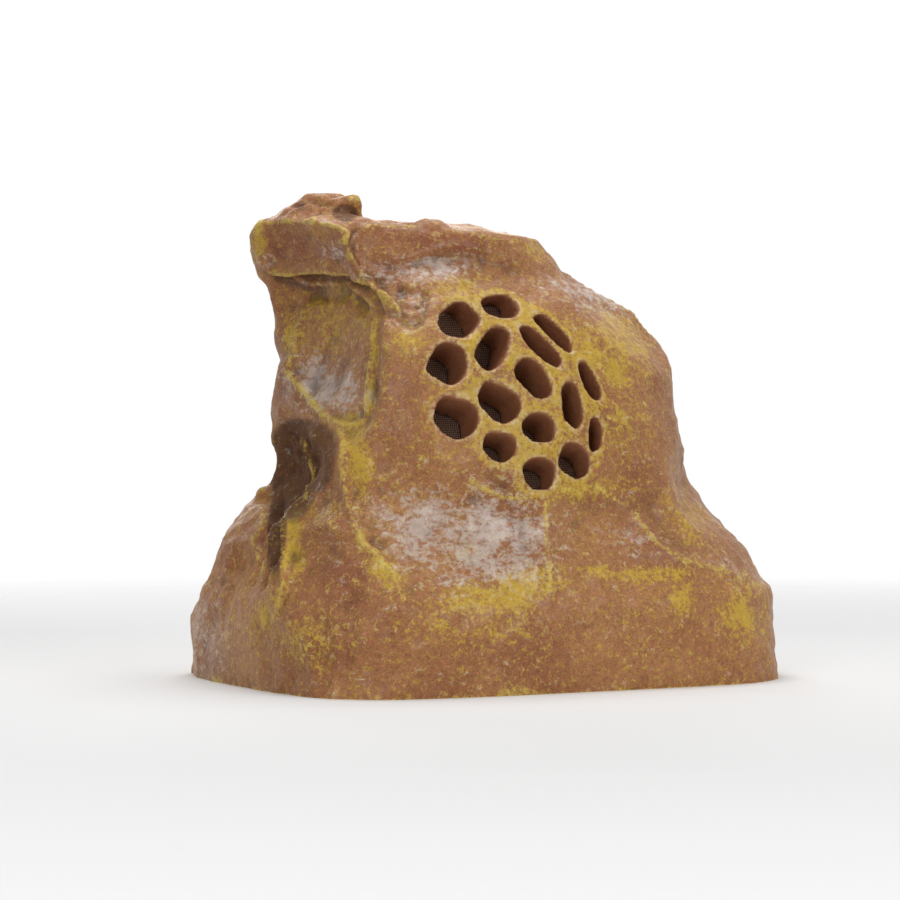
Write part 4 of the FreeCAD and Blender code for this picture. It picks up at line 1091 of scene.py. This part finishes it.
nylon = Finish("moulded_nylon")
nylon_grain = nylon.noise(600, 3)
nylon.dress(nylon_grain, (tint(34, 33, 32), tint(56, 54, 52)), (0.42, 0.18), 0.00006, tone=nylon.noise(40, 3))
coat(nylon, "gland_body", "gland_nut", "gland_locknut")


# The studio: a pale floor that fades out into a white room, under a broad soft lamp, with soft lamps to the left,
# to the right and behind, and the camera where the picture was taken from.

FLOOR_REACH = 1.3
FLOOR_PLAIN = 0.55
SENSOR = 36
SEEN_WHITE = 0.8
ROOM_LIGHT = 0.2

floor_mesh = bmesh.new()
bmesh.ops.create_circle(floor_mesh, cap_ends=True, segments=ROUND_CORNERS, radius=FLOOR_REACH)
floor = new_piece("floor", floor_mesh)
paper = Finish("floor_paper")
paper_tone = paper.noise(2, 2)
paper.set("Base Color", paper.mix(paper_tone, tint(238, 238, 238), tint(242, 242, 242)))
paper.set("Roughness", 0.8 + paper_tone * 0.1)
from_middle = paper.node("VectorMath", {"operation": "LENGTH"}, {0: paper.place()}, "Value")
faded = from_middle.above(FLOOR_PLAIN, 1 / (FLOOR_REACH - FLOOR_PLAIN))
clear = paper.node("BsdfTransparent", {}, {})
paper_surface = Value(paper.tree, paper.surface.outputs[0])
blended = paper.node("MixShader", {}, {0: faded, 1: paper_surface, 2: clear})
join(paper.tree, blended, paper.tree.nodes["Material Output"].inputs["Surface"])
floor.data.materials.append(paper.material)


def soft_lamp(name, place, aim, width, height, power):
    """A lamp behind a sheet of the given width and height, turned to its aim."""
    lamp = bpy.data.lights.new(name, "AREA")
    lamp.shape = "RECTANGLE"
    lamp.size = width
    lamp.size_y = height
    lamp.energy = power
    holder = bpy.data.objects.new(name, lamp)
    bpy.context.collection.objects.link(holder)
    holder.location = place
    holder.rotation_euler = (Vector(aim) - Vector(place)).to_track_quat("-Z", "Y").to_euler()


soft_lamp("overhead_lamp", (0.05, 0.1, 1.45), (0, -0.05, 0.1), 1.0, 0.8, 13)
soft_lamp("left_lamp", (-1.7, -1.7, 1.0), (0, 0, 0.18), 1.0, 1.2, 15)
soft_lamp("right_lamp", (0.5, -2.3, 0.9), (0, 0, 0.18), 1.2, 1.0, 17)
soft_lamp("back_lamp", (0.6, 2.0, 1.1), (0, 0, 0.18), 1.4, 1.0, 10)

world = bpy.data.worlds.new("white_room")
bpy.context.scene.world = world
world.use_nodes = True
sky = Shader(world.node_tree)
backdrop = sky.tree.nodes["Background"]
by_camera, by_gloss, through_clear = [sky.node("LightPath", {}, {}, f"Is {ray} Ray")
                                      for ray in ("Camera", "Glossy", "Transmission")]
join(sky.tree, (1, 1, 1, 1), backdrop.inputs["Color"])
join(sky.tree, (by_camera | by_gloss | through_clear) * SEEN_WHITE + ROOM_LIGHT, backdrop.inputs["Strength"])

camera_data = bpy.data.cameras.new("camera")
camera_data.sensor_width = SENSOR
camera_data.lens = VIEW_FOCUS / PICTURE * SENSOR
camera_data.shift_x = (PICTURE / 2 - VIEW_MIDDLE[0]) / PICTURE
camera_data.shift_y = (VIEW_MIDDLE[1] - PICTURE / 2) / PICTURE
camera = bpy.data.objects.new("camera", camera_data)
camera.location = EYE
camera.rotation_euler = (math.radians(90), 0, VIEW_TURN)
bpy.context.collection.objects.link(camera)
bpy.context.scene.camera = camera
bpy.context.scene.view_settings.view_transform = "Standard"
